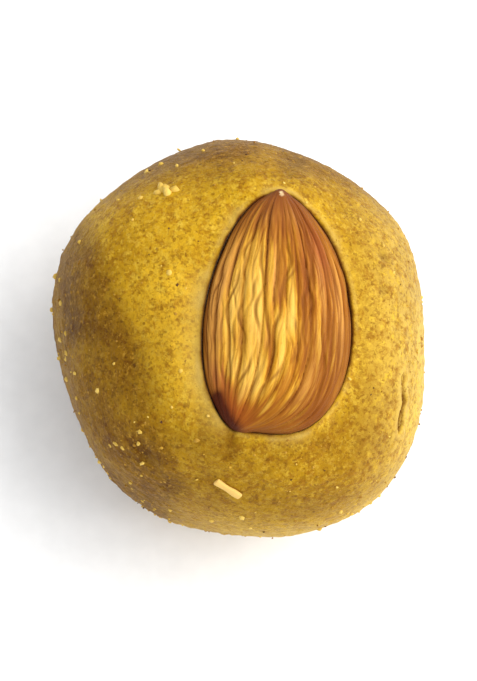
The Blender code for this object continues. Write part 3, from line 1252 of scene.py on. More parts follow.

# %% [markdown]
# The pale grains are coarse semolina or sugar. They lie on top, mostly where the paste is crumbly. The
# dark specks are bits of cardamom husk and of burnt bran, spread evenly. Chance alone would never put a
# grain in a certain place, so the ones that catch the eye are listed one by one: a small heap beside the
# almond's tip, single grains that break the left and front outline, and five specks at its left.

# %% Grains and specks at listed places
# Places in millimetres, the first ones each with its own radius
CRUMB_CLUSTER = (
    ((-8.2, 11.6, 31.0), 0.78 * MM),
    ((-7.8, 11.2, 31.3), 0.66 * MM),
    ((-8.3, 12.0, 30.7), 0.60 * MM),
    ((-7.7, 11.8, 31.0), 0.60 * MM),
    ((-7.0, 11.4, 31.4), 0.56 * MM),
    ((-8.8, 11.4, 30.8), 0.50 * MM),
    ((-10.4, 11.0, 30.1), 0.34 * MM),
)
EDGE_GRAINS = (
    (-16.3, 8.2, 25.8), (-17.9, -0.6, 22.5), (-18.3, -0.6, 19.8),
    (-18.5, -1.3, 15.4), (-16.9, -4.8, 23.7), (-17.7, -4.2, 18.5),
    (-14.8, -7.3, 26.7), (-16.8, -7.0, 22.2), (-13.1, -12.3, 25.3),
    (-12.5, -12.7, 25.7), (-11.1, -12.9, 27.6), (-10.8, -11.9, 28.9),
    (-10.7, -14.4, 25.8), (-11.6, -15.4, 20.3), (-3.6, -19.2, 19.7),
    (-0.8, -19.4, 22.7), (-9.6, 15.2, 26.0), (-8.1, 16.1, 26.0),
)
EDGE_GRAIN_SIZE = 0.33 * MM
NEAR_SPECKS = (
    (-7.0, 3.9, 33.7), (-7.2, 1.4, 33.7), (-7.7, -4.8, 33.1), (-6.6, -6.0, 33.1), (-7.9, 7.3, 33.0),
)
NEAR_SPECK_SIZE = 0.20 * MM


def nearest_patches(places):
    """The middles and normals of the ball's patches nearest to the places, which are in millimetres."""
    gap = np.linalg.norm(patch_middle.reshape(-1, 1, 3) - np.array(places) * MM, axis=-1)
    nearest = gap.argmin(axis=0)
    return patch_middle.reshape(-1, 3)[nearest], patch_normal.reshape(-1, 3)[nearest]


def add_placed(drawn, normals, sizes, places, placed_sizes):
    """Adds bodies near given places to those that were drawn at random."""
    placed, placed_normals = nearest_patches(places)
    sizes = np.append(sizes, np.broadcast_to(placed_sizes, len(placed)))
    return np.concatenate([drawn, placed]), np.concatenate([normals, placed_normals]), sizes


print("placed by hand:", len(CRUMB_CLUSTER) + len(EDGE_GRAINS) + len(NEAR_SPECKS))

# %% [markdown]
# The rest are drawn by chance, and each kind becomes one mesh: pale grains a little sunk, dark specks
# sunk deeper.

# %% Scatter the pale coarse grains and the dark specks
PALE_GRAINS = 420
DARK_SPECKS = 150
pale_random = np.random.default_rng(83)
pale_places, pale_normals = draw_places(pale_random, PALE_GRAINS, 0.06 + patch_crumbly**2)
pale_size = pale_random.gamma(5.0, 0.03 * MM, PALE_GRAINS) + 0.05 * MM
pale = add_placed(pale_places, pale_normals, pale_size, EDGE_GRAINS, EDGE_GRAIN_SIZE)
pale = add_placed(*pale, *zip(*CRUMB_CLUSTER))
pale_stretch = pale_random.uniform(0.6, 1.3, (len(pale[0]), 3))
pale_mesh = scatter_bodies("pale_grains", pale_random, *pale, pale_stretch, 0.2)
add_piece("pale_grains", pale_mesh, "besan_paste")

speck_random = np.random.default_rng(97)
speck_places, speck_normals = draw_places(speck_random, DARK_SPECKS, np.ones(patch_area.shape))
speck_size = speck_random.gamma(3.0, 0.026 * MM, DARK_SPECKS) + 0.05 * MM
specks = add_placed(speck_places, speck_normals, speck_size, NEAR_SPECKS, NEAR_SPECK_SIZE)
speck_stretch = speck_random.uniform(0.5, 1.3, (len(specks[0]), 3))
speck_mesh = scatter_bodies("dark_specks", speck_random, *specks, speck_stretch, 0.6)
add_piece("dark_specks", speck_mesh, "besan_paste")

# %% [markdown]
# The pale sliver below the almond is a splinter of almond or husk. It is a flat, nearly square profile
# carried along a short straight path on the surface, with blunt ends. A stretched cube would do at
# this size, but its edges would be too straight and too sharp for something broken.

# %% The sliver
SLIVER_ENDS = np.array([(-3.7, -16.5, 27.5), (-1.2, -17.9, 26.3)]) * MM
SLIVER_WIDTH = 0.76 * MM
SLIVER_THICKNESS = 0.34 * MM
SLIVER_STEPS = 48
SLIVER_SIDES = 16
SLIVER_POWER = 4.0
SLIVER_BLUNTNESS = 40
SLIVER_LIFT = 0.12 * MM

sliver_share = np.linspace(0, 1, SLIVER_STEPS)[:, None]
sliver_lift = unit(SLIVER_ENDS.mean(axis=0) - waist_middle)
sliver_path = SLIVER_ENDS[0] + sliver_share * (SLIVER_ENDS[1] - SLIVER_ENDS[0])
sliver_path = sliver_path + sliver_lift * SLIVER_LIFT
sliver_along = unit(SLIVER_ENDS[1] - SLIVER_ENDS[0])
sliver_side = unit(np.cross(sliver_lift, sliver_along))
sliver_up = np.cross(sliver_along, sliver_side)
end_share = np.clip(np.abs(2 * sliver_share - 1), 0, 0.998)
sliver_taper = ((1 - end_share**SLIVER_BLUNTNESS) ** 0.5)[..., None]
sliver_wave = 1 + 0.10 * np.sin(9 * sliver_share + 1.0)[..., None]
sliver_turn = np.linspace(0, 2 * np.pi, SLIVER_SIDES, endpoint=False)[None, :, None]
turn_side, turn_up = np.cos(sliver_turn), np.sin(sliver_turn)
squareness = np.abs(turn_side) ** SLIVER_POWER + np.abs(turn_up) ** SLIVER_POWER
square = squareness ** (-1 / SLIVER_POWER)
profile = SLIVER_WIDTH / 2 * turn_side * sliver_side + SLIVER_THICKNESS / 2 * turn_up * sliver_up
sliver_rings = sliver_path[:, None] + sliver_taper * sliver_wave * square * profile
sliver_mesh = mesh_from_rings("pale_sliver", sliver_rings[:, ::-1], sliver_path[0], sliver_path[-1])
add_piece("pale_sliver", sliver_mesh, "besan_paste")

# %% [markdown]
# ## Materials
#
# All patterns are made by nodes from the object's own coordinates or from the attributes above. A
# small class keeps the node code short: each method adds a node or two and returns the output, so a
# material reads like a sum. Colours are given as they should look on a screen.

# %% A short way to write node trees
class NodeTree:
    """Adds nodes to a new material. Values are numbers, colours or other nodes' outputs."""

    def __init__(self, name):
        self.material = bpy.data.materials.new(name)
        self.material.use_nodes = True
        self.tree = self.material.node_tree
        self.shader = self.tree.nodes["Principled BSDF"]

    def put(self, socket, value):
        """Links a node's output to a socket, or sets the socket to a colour or a number."""
        if isinstance(value, bpy.types.NodeSocket):
            self.tree.links.new(value, socket)
        elif isinstance(value, (tuple, list)) and len(socket.default_value) == 4:
            socket.default_value = (*value, 1.0)[:4]
        else:
            socket.default_value = value

    def node(self, kind, inputs=(), **settings):
        """Adds one node, sets its options, and fills its sockets."""
        added = self.tree.nodes.new(kind)
        for setting, value in settings.items():
            setattr(added, setting, value)
        for socket, value in dict(inputs).items():
            self.put(added.inputs[socket], value)
        return added

    def millimetres(self):
        """The object's own coordinates, in millimetres."""
        inputs = {"Vector": self.node("ShaderNodeTexCoord").outputs["Object"], "Scale": (1 / MM,) * 3}
        return self.node("ShaderNodeMapping", inputs).outputs["Vector"]

    def attribute(self, name, output="Fac"):
        return self.node("ShaderNodeAttribute", attribute_name=name).outputs[output]

    def noise(self, place, scale, detail=3.0, roughness=0.55, distortion=0.0):
        """Soft noise, mostly between 0.3 and 0.7."""
        inputs = {
            "Vector": place, "Scale": scale, "Detail": detail,
            "Roughness": roughness, "Distortion": distortion,
        }
        return self.node("ShaderNodeTexNoise", inputs).outputs["Fac"]

    def cells(self, place, scale, output="Color"):
        """A cell pattern: its Color is one value for each cell, its Distance that to the middle."""
        return self.node("ShaderNodeTexVoronoi", {"Vector": place, "Scale": scale}).outputs[output]

    def fit(self, value, low, high, new_low=0.0, new_high=1.0):
        """Stretches low..high to the new range, and holds it there outside it."""
        inputs = {"Value": value, 1: low, 2: high, 3: new_low, 4: new_high}
        return self.node("ShaderNodeMapRange", inputs).outputs["Result"]

    def math(self, operation, first, second=0.0):
        return self.node("ShaderNodeMath", {0: first, 1: second}, operation=operation).outputs[0]

    def mix(self, share, first, second, blend="MIX"):
        """From the first colour at share 0 to the second at share 1."""
        mixer = self.node("ShaderNodeMix", data_type="RGBA", blend_type=blend)
        colours = [socket for socket in mixer.inputs if socket.type == "RGBA"]
        self.put(mixer.inputs[0], share)
        self.put(colours[0], first)
        self.put(colours[1], second)
        return next(socket for socket in mixer.outputs if socket.type == "RGBA")

    def bump(self, height, distance, strength=1.0, under=None):
        """Tilts the normal by a pattern, on top of an earlier bump if there is one under it."""
        inputs = {"Height": height, "Distance": distance, "Strength": strength}
        if under is not None:
            inputs["Normal"] = under
        return self.node("ShaderNodeBump", inputs).outputs["Normal"]

    def finish(self, **sockets):
        """Fills the shader's sockets, whose names are written with _ for each space."""
        for socket, value in sockets.items():
            self.put(self.shader.inputs[socket.replace("_", " ")], value)
        return self.material


print("methods:", [name for name in vars(NodeTree) if not name.startswith("_")])

# %% [markdown]
# Blender mixes light, so its colours are linear. Screen colours are easier to judge, and one formula
# turns them into linear ones.

# %% Colours from screen values
def from_screen(red, green, blue):
    """A linear colour from the usual 0 to 255 screen values, by the sRGB curve."""
    screen = np.array([red, green, blue]) / 255
    linear = np.where(screen <= 0.04045, screen / 12.92, ((screen + 0.055) / 1.055) ** 2.4)
    return tuple(float(value) for value in linear)


print("screen value 128 is", round(from_screen(128, 128, 128)[0], 3), "of full light")

# %% [markdown]
# ### The paste
#
# Roasted gram flour is mustard yellow and neither orange nor olive. Broad noise makes two yellows of
# it, finer noise mottles it a millimetre or two at a time, and a cell pattern picks out single grains.
# Towards the right and in one long patch it is painted paler, as painted light. What lies low is darker
# with painted shade, and what stands up is paler with painted highlight. On the sides that lie in painted
# shade its colour is multiplied by a brown, with pale flecks and burnt spots in it. A painted rim of
# light, smears of ghee and painted shade in the grooves come last and lie over everything. The finest
# grain is only in the bump.

# %% Paste colours
MUSTARD = from_screen(178, 134, 16)
LIGHT_MUSTARD = from_screen(194, 150, 24)
# Painted light on the right side, where the lamp falls
LIT_RIGHT_PALE = from_screen(214, 187, 102)
# Painted light in a long patch between the almond and the shaded left side
LIT_PATCH_YELLOW = from_screen(226, 178, 42)
BROWN_MOTTLE = from_screen(144, 92, 8)
PALE_MOTTLE = from_screen(212, 172, 50)
PALE_GRAIN = from_screen(214, 176, 62)
DARK_GRAIN = from_screen(112, 70, 8)
FINE_BROWN = from_screen(116, 72, 6)
# Painted shade in the hollows of the relief and painted highlight on what stands up
HOLLOW_SHADE = from_screen(96, 54, 6)
PEAK_HIGHLIGHT = from_screen(212, 174, 58)
FLECK_IN_SHADE = from_screen(196, 148, 48)
BURNT = from_screen(64, 34, 8)
# A painted rim of light on the lower right and front
RIM_LIGHT_PALE = from_screen(222, 190, 108)
GHEE_SMEAR = from_screen(194, 160, 78)
# Painted shade in the crack, the crease, the slit and along the almond's edge
GROOVE_SHADE_BROWN = from_screen(94, 46, 8)

# The share of the red, green and blue light that is left where the painted shade on the sides is deepest
SHADE_MULTIPLIER = (0.37, 0.27, 0.16)
WARM_GLOSS = (1.0, 0.85, 0.6)
FLOUR_SHEEN = (1.0, 0.88, 0.6)

print("mustard in linear light:", np.round(MUSTARD, 3))


# %% [markdown]
# The colours are laid one over the other. First the paste itself, its grain, the painted light towards
# the right and in one patch, and the painted shade and highlight of its relief. In each fit() call two
# numbers say where a noise starts and ends to count, and the last says how much of the new colour shows
# at most.

# %% The paste's ground and grain, and painted shade and highlight on its relief
def paste_ground(nodes, place):
    """Two yellows in broad noise, painted paler towards the lit right side, and painted light in one long
    patch.
    """
    broad = nodes.fit(nodes.noise(place, 0.13, 3.0), 0.38, 0.62)
    colour = nodes.mix(broad, MUSTARD, LIGHT_MUSTARD)
    rightwards = nodes.node("ShaderNodeSeparateXYZ", {"Vector": place}).outputs["X"]
    # Painted light: paler towards the right, where the lamp falls
    colour = nodes.mix(nodes.fit(rightwards, 9.0, 19.0, 0.0, 0.7), colour, LIT_RIGHT_PALE)
    # Painted light: a patch of paler paste between the almond and the shaded left side
    lit_patch_share = nodes.fit(nodes.attribute("lit_patch_share"), 0.0, 1.0, 0.0, 0.85)
    return nodes.mix(lit_patch_share, colour, LIT_PATCH_YELLOW)


def paste_mottle(nodes, place, colour):
    """Brown and pale mottles, single pale and dark grains, and fine brown specks."""
    mottle = nodes.fit(nodes.noise(place, 0.9, 5.0, 0.75, 0.4), 0.47, 0.62, 0.0, 0.72)
    colour = nodes.mix(mottle, colour, BROWN_MOTTLE)
    pale = nodes.fit(nodes.noise(place, 1.1, 5.0, 0.8), 0.52, 0.63, 0.0, 0.9)
    colour = nodes.mix(pale, colour, PALE_MOTTLE)
    grain = nodes.node("ShaderNodeSeparateColor", {"Color": nodes.cells(place, 3.4)}).outputs["Red"]
    colour = nodes.mix(nodes.fit(grain, 0.75, 1.0, 0.0, 0.4), colour, PALE_GRAIN)
    colour = nodes.mix(nodes.fit(grain, 0.22, 0.0, 0.0, 0.5), colour, DARK_GRAIN)
    fine = nodes.fit(nodes.noise(place, 2.6, 4.0, 0.75), 0.55, 0.67, 0.0, 0.75)
    return nodes.mix(fine, colour, FINE_BROWN)


def paste_relief_shading(nodes, colour):
    """Painted shade where the relief is low, and painted highlight where it stands up."""
    low = nodes.fit(nodes.attribute("relief"), 0.44, 0.06, 0.0, 0.75)
    colour = nodes.mix(low, colour, HOLLOW_SHADE)
    high = nodes.fit(nodes.attribute("relief"), 0.54, 0.82, 0.0, 0.4)
    return nodes.mix(high, colour, PEAK_HIGHLIGHT)


print("layers of the ground:", [layer.__name__ for layer in (paste_ground, paste_mottle, paste_relief_shading)])

# %% [markdown]
# Then the painted shade on the sides, the painted rim of light, the smears of ghee and the painted shade
# in the grooves. They use the attributes, so they keep to their places on the ball.

# %% Painted shade on the sides, and what lies on top
def paste_shade_and_flecks(nodes, place, colour):
    """Painted shade on the sides: the colour times a brown, then pale flecks and burnt spots in it."""
    uneven = nodes.fit(nodes.noise(place, 0.2, 3.0), 0.35, 0.65, 0.65, 1.0)
    painted_shade = nodes.math("MULTIPLY", nodes.attribute("painted_shade"), uneven)
    # Painted shade on the sides, multiplied into the colour
    colour = nodes.mix(painted_shade, colour, SHADE_MULTIPLIER, "MULTIPLY")
    fleck = nodes.fit(nodes.noise(place, 1.8, 5.0, 0.8), 0.55, 0.64, 0.0, 0.7)
    colour = nodes.mix(nodes.math("MULTIPLY", painted_shade, fleck), colour, FLECK_IN_SHADE)
    burnt = nodes.fit(nodes.noise(place, 1.3, 5.0, 0.75), 0.44, 0.36, 0.0, 0.6)
    return nodes.mix(nodes.math("MULTIPLY", painted_shade, burnt), colour, BURNT)


def paste_cover(nodes, place, colour):
    """A painted rim of light, then smears of ghee, then painted shade in the grooves."""
    # A painted rim of light on the lower right and front, broken up by noise
    rim_light_noise = nodes.fit(nodes.noise(place, 2.0, 6.0, 0.85), 0.40, 0.62, 0.15, 0.75)
    colour = nodes.mix(nodes.math("MULTIPLY", nodes.attribute("rim_light_share"), rim_light_noise), colour, RIM_LIGHT_PALE)
    colour = nodes.mix(nodes.attribute("smear"), colour, GHEE_SMEAR)
    # Painted shade in the crack, the crease, the slit and along the almond's edge
    return nodes.mix(nodes.attribute("stain"), colour, GROOVE_SHADE_BROWN)


print("layers on top:", [layer.__name__ for layer in (paste_shade_and_flecks, paste_cover)])

# %% [markdown]
# The finished material runs through all of them. Two bumps give lumps and sand that are too fine for
# the mesh. The gloss is low and warm, because ghee shines a little, and a weak sheen stands in for the
# dust of flour that lights up at the ball's edge.

# %% Put the paste's material together
def paste_material():
    """All the colours in turn, bumps of two sizes, and a gloss that is dulled in the grooves."""
    nodes = NodeTree("besan_paste_look")
    place = nodes.millimetres()
    colour = paste_mottle(nodes, place, paste_ground(nodes, place))
    colour = paste_shade_and_flecks(nodes, place, paste_relief_shading(nodes, colour))
    colour = paste_cover(nodes, place, colour)
    lumps = nodes.cells(place, 2.2, "Distance")
    normal = nodes.bump(lumps, 0.08 * MM, -0.6)
    normal = nodes.bump(nodes.noise(place, 3.2, 4.0, 0.65), 0.16 * MM, 0.9, normal)
    roughness = nodes.fit(nodes.noise(place, 1.7, 3.0), 0.3, 0.7, 0.55, 0.75)
    roughness = nodes.math("ADD", roughness, nodes.attribute("stain"))
    return nodes.finish(
        Base_Color=colour, Roughness=roughness, Normal=normal,
        Specular_IOR_Level=0.1, Specular_Tint=WARM_GLOSS,
        Sheen_Weight=0.14, Sheen_Roughness=0.35, Sheen_Tint=FLOUR_SHEEN,
    )


ball_mesh.materials.append(paste_material())
print("nodes in the paste:", len(ball_mesh.materials[0].node_tree.nodes))

# %% [markdown]
# The loose bodies are plainer. Each has its own tint between two colours, and a little noise in it.

# %% Materials for crumbs, grains, specks and the sliver
def crumb_material(name, dark, light):
    """A plain grain: its own tint between two colours, mottled a little by noise."""
    nodes = NodeTree(name)
    place = nodes.millimetres()
    mottle = nodes.noise(place, 3.5, 3.0, 0.6)
    share = nodes.math("MULTIPLY", nodes.attribute("tint"), nodes.fit(mottle, 0.3, 0.7, 0.6, 1.2))
    colour = nodes.mix(share, from_screen(*dark), from_screen(*light))
    normal = nodes.bump(nodes.noise(place, 7.0, 3.0), 0.05 * MM, 0.7)
    roughness = nodes.fit(mottle, 0.3, 0.7, 0.5, 0.75)
    return nodes.finish(Base_Color=colour, Roughness=roughness, Normal=normal, Specular_IOR_Level=0.3)


crumb_mesh.materials.append(crumb_material("crumb_look", (142, 96, 16), (190, 146, 40)))
pale_mesh.materials.append(crumb_material("pale_grain_look", (206, 166, 62), (228, 192, 92)))
speck_mesh.materials.append(crumb_material("speck_look", (58, 30, 8), (104, 62, 16)))
sliver_mesh.materials.append(crumb_material("sliver_look", (226, 184, 98), (240, 206, 130)))
print("paste and crumb materials:", [material.name for material in bpy.data.materials])

# %% [markdown]
# ### The almond's skin
#
# Two layers of colour: the brown bloom, from reddish to light brown, and the golden layer under it.
# Which one shows is decided by a level with a fairly sharp threshold: the gold attribute, plus noise
# drawn out along the veins so that the edge of each patch is streaked. The grooves are dark in both,
# partly as the skin's own colour and partly as painted shade. Then come the browner end, the rim darkened
# with painted shade, the corner that is dark partly with painted shade, and the cream tip. The skin is
# dry but smooth, so it has a soft gloss.

# %% Skin colours
DEEP_BROWN = from_screen(132, 72, 14)
BROWN = from_screen(164, 102, 20)
LIGHT_BROWN = from_screen(192, 132, 36)
REDDISH = from_screen(146, 66, 36)
TAN = from_screen(224, 162, 82)
GOLD = from_screen(208, 152, 38)
LIGHT_GOLD = from_screen(228, 180, 80)
# Painted highlight on the crests of the ridges
CREST_HIGHLIGHT = from_screen(222, 168, 76)
DARK_STREAK = from_screen(122, 64, 12)
DARK_FLECK = from_screen(110, 56, 10)
# Vein browns: partly the skin's own colour, partly painted shade
WRINKLE_BROWN = from_screen(112, 56, 8)
SIDE_VEIN_BROWN = from_screen(108, 54, 8)
VEIN_BROWN = from_screen(104, 48, 10)
VEIN_IN_GOLD = from_screen(176, 116, 32)
TIP_BROWN = from_screen(122, 62, 26)
END_BROWN = from_screen(118, 60, 14)
BLUSH = from_screen(150, 68, 22)
# Painted shade at the rim, also the colour of the dark nicks
NICK_AND_RIM_SHADE_BROWN = from_screen(100, 48, 10)
# The corner's own dark skin, with painted shade from the slit
CORNER_BLACK_AND_SHADE = from_screen(70, 18, 6)
CREAM = from_screen(240, 212, 160)
SKIN_GLOSS = (1.0, 0.8, 0.5)

print("gold in linear light:", np.round(GOLD, 3))


# %% [markdown]
# First come the bloom and the level that says how much of it is worn off. Both read the same two
# noises, which run along the ridges, so their patches have the same streaks.

# %% The bloom, and how worn it is
def skin_bloom(nodes, streaks, fine_streaks):
    """The brown bloom in three steps, reddish in places and tan in others."""
    level = nodes.fit(streaks, 0.34, 0.66, 0.1, 0.9)
    level = nodes.math("ADD", level, nodes.fit(fine_streaks, 0.35, 0.65, -0.2, 0.2))
    level = nodes.math("ADD", level, nodes.math("MULTIPLY", nodes.attribute("shade"), 0.2))
    brown = nodes.mix(nodes.fit(level, 0.0, 0.5), DEEP_BROWN, BROWN)
    brown = nodes.mix(nodes.fit(level, 0.5, 1.0), brown, LIGHT_BROWN)
    red = nodes.math("MULTIPLY", nodes.attribute("red"), nodes.fit(streaks, 0.3, 0.7, 0.5, 1.0))
    colour = nodes.mix(nodes.fit(red, 0.0, 1.0, 0.0, 0.8), brown, REDDISH)
    tan = nodes.math("MULTIPLY", nodes.attribute("tan"), nodes.fit(streaks, 0.3, 0.7, 0.4, 1.0))
    return nodes.mix(nodes.fit(tan, 0.0, 1.0, 0.0, 0.9), colour, TAN)


def worn_level(nodes, streaks, fine_streaks):
    """How worn the bloom is: the gold attribute, and two noises that streak its edges."""
    level = nodes.math("ADD", nodes.attribute("gold"), nodes.fit(streaks, 0.3, 0.7, -0.35, 0.35))
    return nodes.math("ADD", level, nodes.fit(fine_streaks, 0.3, 0.7, -0.2, 0.2))


print("screen brown in linear light:", np.round(BROWN, 3))

# %% [markdown]
# Over both lie the lines: painted highlight on the crests, and dark in veins, side veins and wrinkles,
# partly as the skin's own colour and partly as painted shade. The ends come last, since the skin is
# darkest at the rim, with painted shade, and at the corner, partly with painted shade, whatever else
# happens there.

# %% Lines, ends, rim and tip
def skin_lines(nodes, colour, worn, fine_streaks, specks):
    """Painted highlight on the crests, dark streaks and flecks, then the three kinds of vein, dark partly
    as their own colour and partly as painted shade.
    """
    crest_streaks = nodes.fit(fine_streaks, 0.35, 0.6, 0.3, 1.0)
    crest = nodes.math("MULTIPLY", nodes.attribute("crest"), crest_streaks)
    # Painted highlight on the crests
    colour = nodes.mix(nodes.fit(crest, 0.5, 1.0, 0.0, 0.35), colour, CREST_HIGHLIGHT)
    colour = nodes.mix(nodes.fit(fine_streaks, 0.54, 0.72, 0.0, 0.5), colour, DARK_STREAK)
    colour = nodes.mix(nodes.fit(specks, 0.60, 0.75, 0.0, 0.4), colour, DARK_FLECK)
    wrinkle = nodes.fit(nodes.attribute("wrinkle"), 0.2, 0.9, 0.0, 0.45)
    colour = nodes.mix(wrinkle, colour, WRINKLE_BROWN)
    side_vein = nodes.fit(nodes.attribute("side_vein"), 0.2, 0.8, 0.0, 0.6)
    colour = nodes.mix(side_vein, colour, SIDE_VEIN_BROWN)
    # The veins' brown: partly their own colour, partly painted shade
    vein_colour = nodes.mix(nodes.fit(worn, 0.30, 0.9), VEIN_BROWN, VEIN_IN_GOLD)
    return nodes.mix(nodes.fit(nodes.attribute("vein"), 0.3, 0.85, 0.0, 0.8), colour, vein_colour)


def skin_ends(nodes, colour, streaks, specks):
    """The browner ends, the blush, painted shade at the rim together with the dark nicks, the corner dark
    partly with painted shade, and the cream tip over them all.
    """
    tip_zone = nodes.fit(nodes.attribute("tip_zone"), 0.0, 1.0, 0.0, 0.75)
    colour = nodes.mix(tip_zone, colour, TIP_BROWN)
    colour = nodes.mix(nodes.fit(nodes.attribute("end"), 0.0, 1.0, 0.0, 0.85), colour, END_BROWN)
    colour = nodes.mix(nodes.fit(nodes.attribute("blush"), 0.1, 0.9, 0.0, 0.8), colour, BLUSH)
    dark = nodes.math("MULTIPLY", nodes.attribute("dark"), nodes.fit(streaks, 0.3, 0.7, 1.2, 0.7))
    # Painted shade at the rim, with the dark nicks
    colour = nodes.mix(nodes.fit(dark, 0.0, 1.0, 0.0, 0.9), colour, NICK_AND_RIM_SHADE_BROWN)
    # The corner: its own dark skin and painted shade from the slit
    corner = nodes.fit(nodes.attribute("corner"), 0.1, 0.8, 0.0, 0.95)
    colour = nodes.mix(corner, colour, CORNER_BLACK_AND_SHADE)
    tip = nodes.math("MULTIPLY", nodes.attribute("tip"), nodes.fit(specks, 0.3, 0.6, 0.6, 1.2))
    return nodes.mix(nodes.fit(tip, 0.35, 0.7), colour, CREAM)


print("cream in linear light:", np.round(CREAM, 3))

# %% [markdown]
# Put together, gold and bloom are mixed by the level, and lines and ends are laid over them. Two fine
# bumps make the skin papery, and a soft warm gloss runs along the ridges.

# %% Put the skin's material together
def skin_material():
    """Bloom and gold mixed by how worn the skin is, then the lines, the ends and two bumps."""
    nodes = NodeTree("almond_skin_look")
    streak = nodes.attribute("streak", "Vector")
    drawn_out = {"Vector": streak, "Scale": (1, 1, 0.35)}
    long_way = nodes.node("ShaderNodeMapping", drawn_out).outputs["Vector"]
    streaks = nodes.noise(long_way, 14.0, 4.0, 0.6, 0.3)
    fine_streaks = nodes.noise(long_way, 40.0, 3.0, 0.6, 0.4)
    place = nodes.millimetres()
    specks = nodes.noise(place, 3.0, 4.0, 0.7)

    bloom = skin_bloom(nodes, streaks, fine_streaks)
    worn = worn_level(nodes, streaks, fine_streaks)
    gold = nodes.mix(nodes.fit(worn, 0.5, 1.3), GOLD, LIGHT_GOLD)
    colour = nodes.mix(nodes.fit(worn, 0.25, 0.75), bloom, gold)
    colour = skin_lines(nodes, colour, worn, fine_streaks, specks)
    colour = skin_ends(nodes, colour, streaks, specks)

    normal = nodes.bump(fine_streaks, 0.05 * MM, 0.7)
    normal = nodes.bump(specks, 0.05 * MM, 0.5, normal)
    roughness = nodes.fit(nodes.noise(place, 1.5, 3.0), 0.3, 0.7, 0.42, 0.55)
    return nodes.finish(
        Base_Color=colour, Roughness=roughness, Normal=normal,
        Specular_IOR_Level=0.16, Specular_Tint=SKIN_GLOSS,
    )


almond_mesh.materials.append(skin_material())
print(almond_mesh.materials[0].name, "is on", almond_kernel.name)

# %% [markdown]
# ## Floor, light and camera
#
# The sweet stands on a plain white table, which is one large square. Its white is a little uneven, as
# that of a real table top is.

# %% Floor
FLOOR_SIZE = 4.0
WHITE_LEVELS = (0.86, 0.9)

half_floor = FLOOR_SIZE / 2
floor_corners = [
    (-half_floor, -half_floor, 0), (half_floor, -half_floor, 0),
    (half_floor, half_floor, 0), (-half_floor, half_floor, 0),
]
floor_mesh = bpy.data.meshes.new("floor")
floor_mesh.from_pydata(floor_corners, [], [(0, 1, 2, 3)])
floor = bpy.data.objects.new("floor", floor_mesh)
bpy.context.scene.collection.objects.link(floor)

floor_nodes = NodeTree("white_table")
floor_noise = floor_nodes.noise(floor_nodes.millimetres(), 0.4, 2.0)
floor_level = floor_nodes.fit(floor_noise, 0.3, 0.7, *WHITE_LEVELS)
floor_colour = floor_nodes.mix(floor_level, (0.0, 0.0, 0.0), (1.0, 1.0, 1.0))
floor_mesh.materials.append(floor_nodes.finish(Base_Color=floor_colour, Roughness=0.6))
print("floor, m:", tuple(floor.dimensions))

# %% [markdown]
# The light is soft, as beside a large window. One wide square lamp stands high on the right and gives
# that side its brighter rim and the almond's ridges their shading. The surround lifts the rest: it is
# brightest towards the right and falls off evenly to the left, so the shadow on that side is broad and
# faint. Lamps all round would give the same level, but they would flatten the ball.

# %% Lights
WORLD_STRENGTH = 1.10
WORLD_SLOPE = 0.5
WORLD_COLOUR = (0.96, 0.98, 1.0, 1.0)
BRIGHT_WAY = (0.9, -0.1, 0.0)
KEY_PLACE = (0.50, 0.06, 0.66)
KEY_SIZE = 0.8
KEY_POWER = 6.6
KEY_COLOUR = (1.0, 0.98, 0.95)

waist_vector = Vector(waist_middle)


def soft_light(name, place, size, power, colour):
    """A square area light that faces the middle of the ball."""
    light = bpy.data.lights.new(name, "AREA")
    light.shape = "SQUARE"
    light.size = size
    light.energy = power
    light.color = colour
    lamp = bpy.data.objects.new(name, light)
    lamp.location = place
    lamp.rotation_euler = (waist_vector - Vector(place)).to_track_quat("-Z", "Y").to_euler()
    bpy.context.scene.collection.objects.link(lamp)


soft_light("key_light", KEY_PLACE, KEY_SIZE, KEY_POWER, KEY_COLOUR)

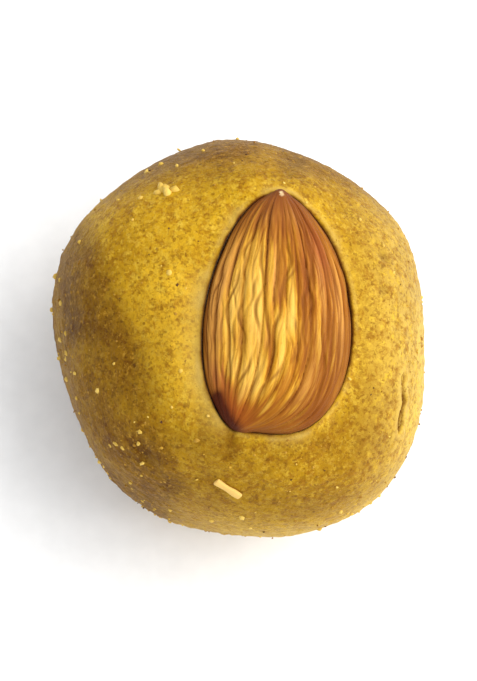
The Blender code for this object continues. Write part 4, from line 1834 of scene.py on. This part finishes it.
# The surround's strength goes in a straight line with how far a direction points the bright way
world = bpy.data.worlds.new("surround")
world.use_nodes = True
background = world.node_tree.nodes["Background"]
background.inputs["Color"].default_value = WORLD_COLOUR
direction = world.node_tree.nodes.new("ShaderNodeTexCoord")
towards_bright = world.node_tree.nodes.new("ShaderNodeVectorMath")
towards_bright.operation = "DOT_PRODUCT"
towards_bright.inputs[1].default_value = Vector(BRIGHT_WAY).normalized()
strength = world.node_tree.nodes.new("ShaderNodeMapRange")
strength.inputs["From Min"].default_value = -1.0
strength.inputs["To Min"].default_value = WORLD_STRENGTH * (1 - WORLD_SLOPE)
strength.inputs["To Max"].default_value = WORLD_STRENGTH * (1 + WORLD_SLOPE)
world.node_tree.links.new(direction.outputs["Generated"], towards_bright.inputs[0])
world.node_tree.links.new(towards_bright.outputs["Value"], strength.inputs["Value"])
world.node_tree.links.new(strength.outputs["Result"], background.inputs["Strength"])
bpy.context.scene.world = world
bpy.context.scene.view_settings.view_transform = "Standard"
print("lamp, W:", KEY_POWER, "surround from", strength.inputs["To Min"].default_value)

# %% [markdown]
# The camera looks down steeply, at 75 degrees from the front, as one looks at a plate of sweets. It
# aims at the middle of the ball's waist, and a long lens keeps the sides of the ball from spreading.
# It is turned a little about its own axis, so that the almond's tip points up.

# %% Camera
CAMERA_DISTANCE = 226.6 * MM
CAMERA_WAY = (-0.0895, -0.2376, 0.9672)
CAMERA_LENS = 116.0
UP_ANGLE = math.radians(68)
PICTURE_UP = (0.0, math.sin(UP_ANGLE), math.cos(UP_ANGLE))

camera_data = bpy.data.cameras.new("camera")
camera_data.lens = CAMERA_LENS
camera_data.clip_start = 0.01
camera = bpy.data.objects.new("camera", camera_data)
bpy.context.scene.collection.objects.link(camera)
backwards = Vector(CAMERA_WAY).normalized()
rightwards = Vector(PICTURE_UP).cross(backwards).normalized()
upwards = backwards.cross(rightwards)
camera_turn = Matrix((rightwards, upwards, backwards)).transposed().to_4x4()
camera.matrix_world = Matrix.Translation(waist_vector + backwards * CAMERA_DISTANCE) @ camera_turn
bpy.context.scene.camera = camera
print("camera, mm:", [round(value / MM, 1) for value in camera.matrix_world.translation])

# %% [markdown]
# The fine surfaces may not outgrow the solids by more than a hair.
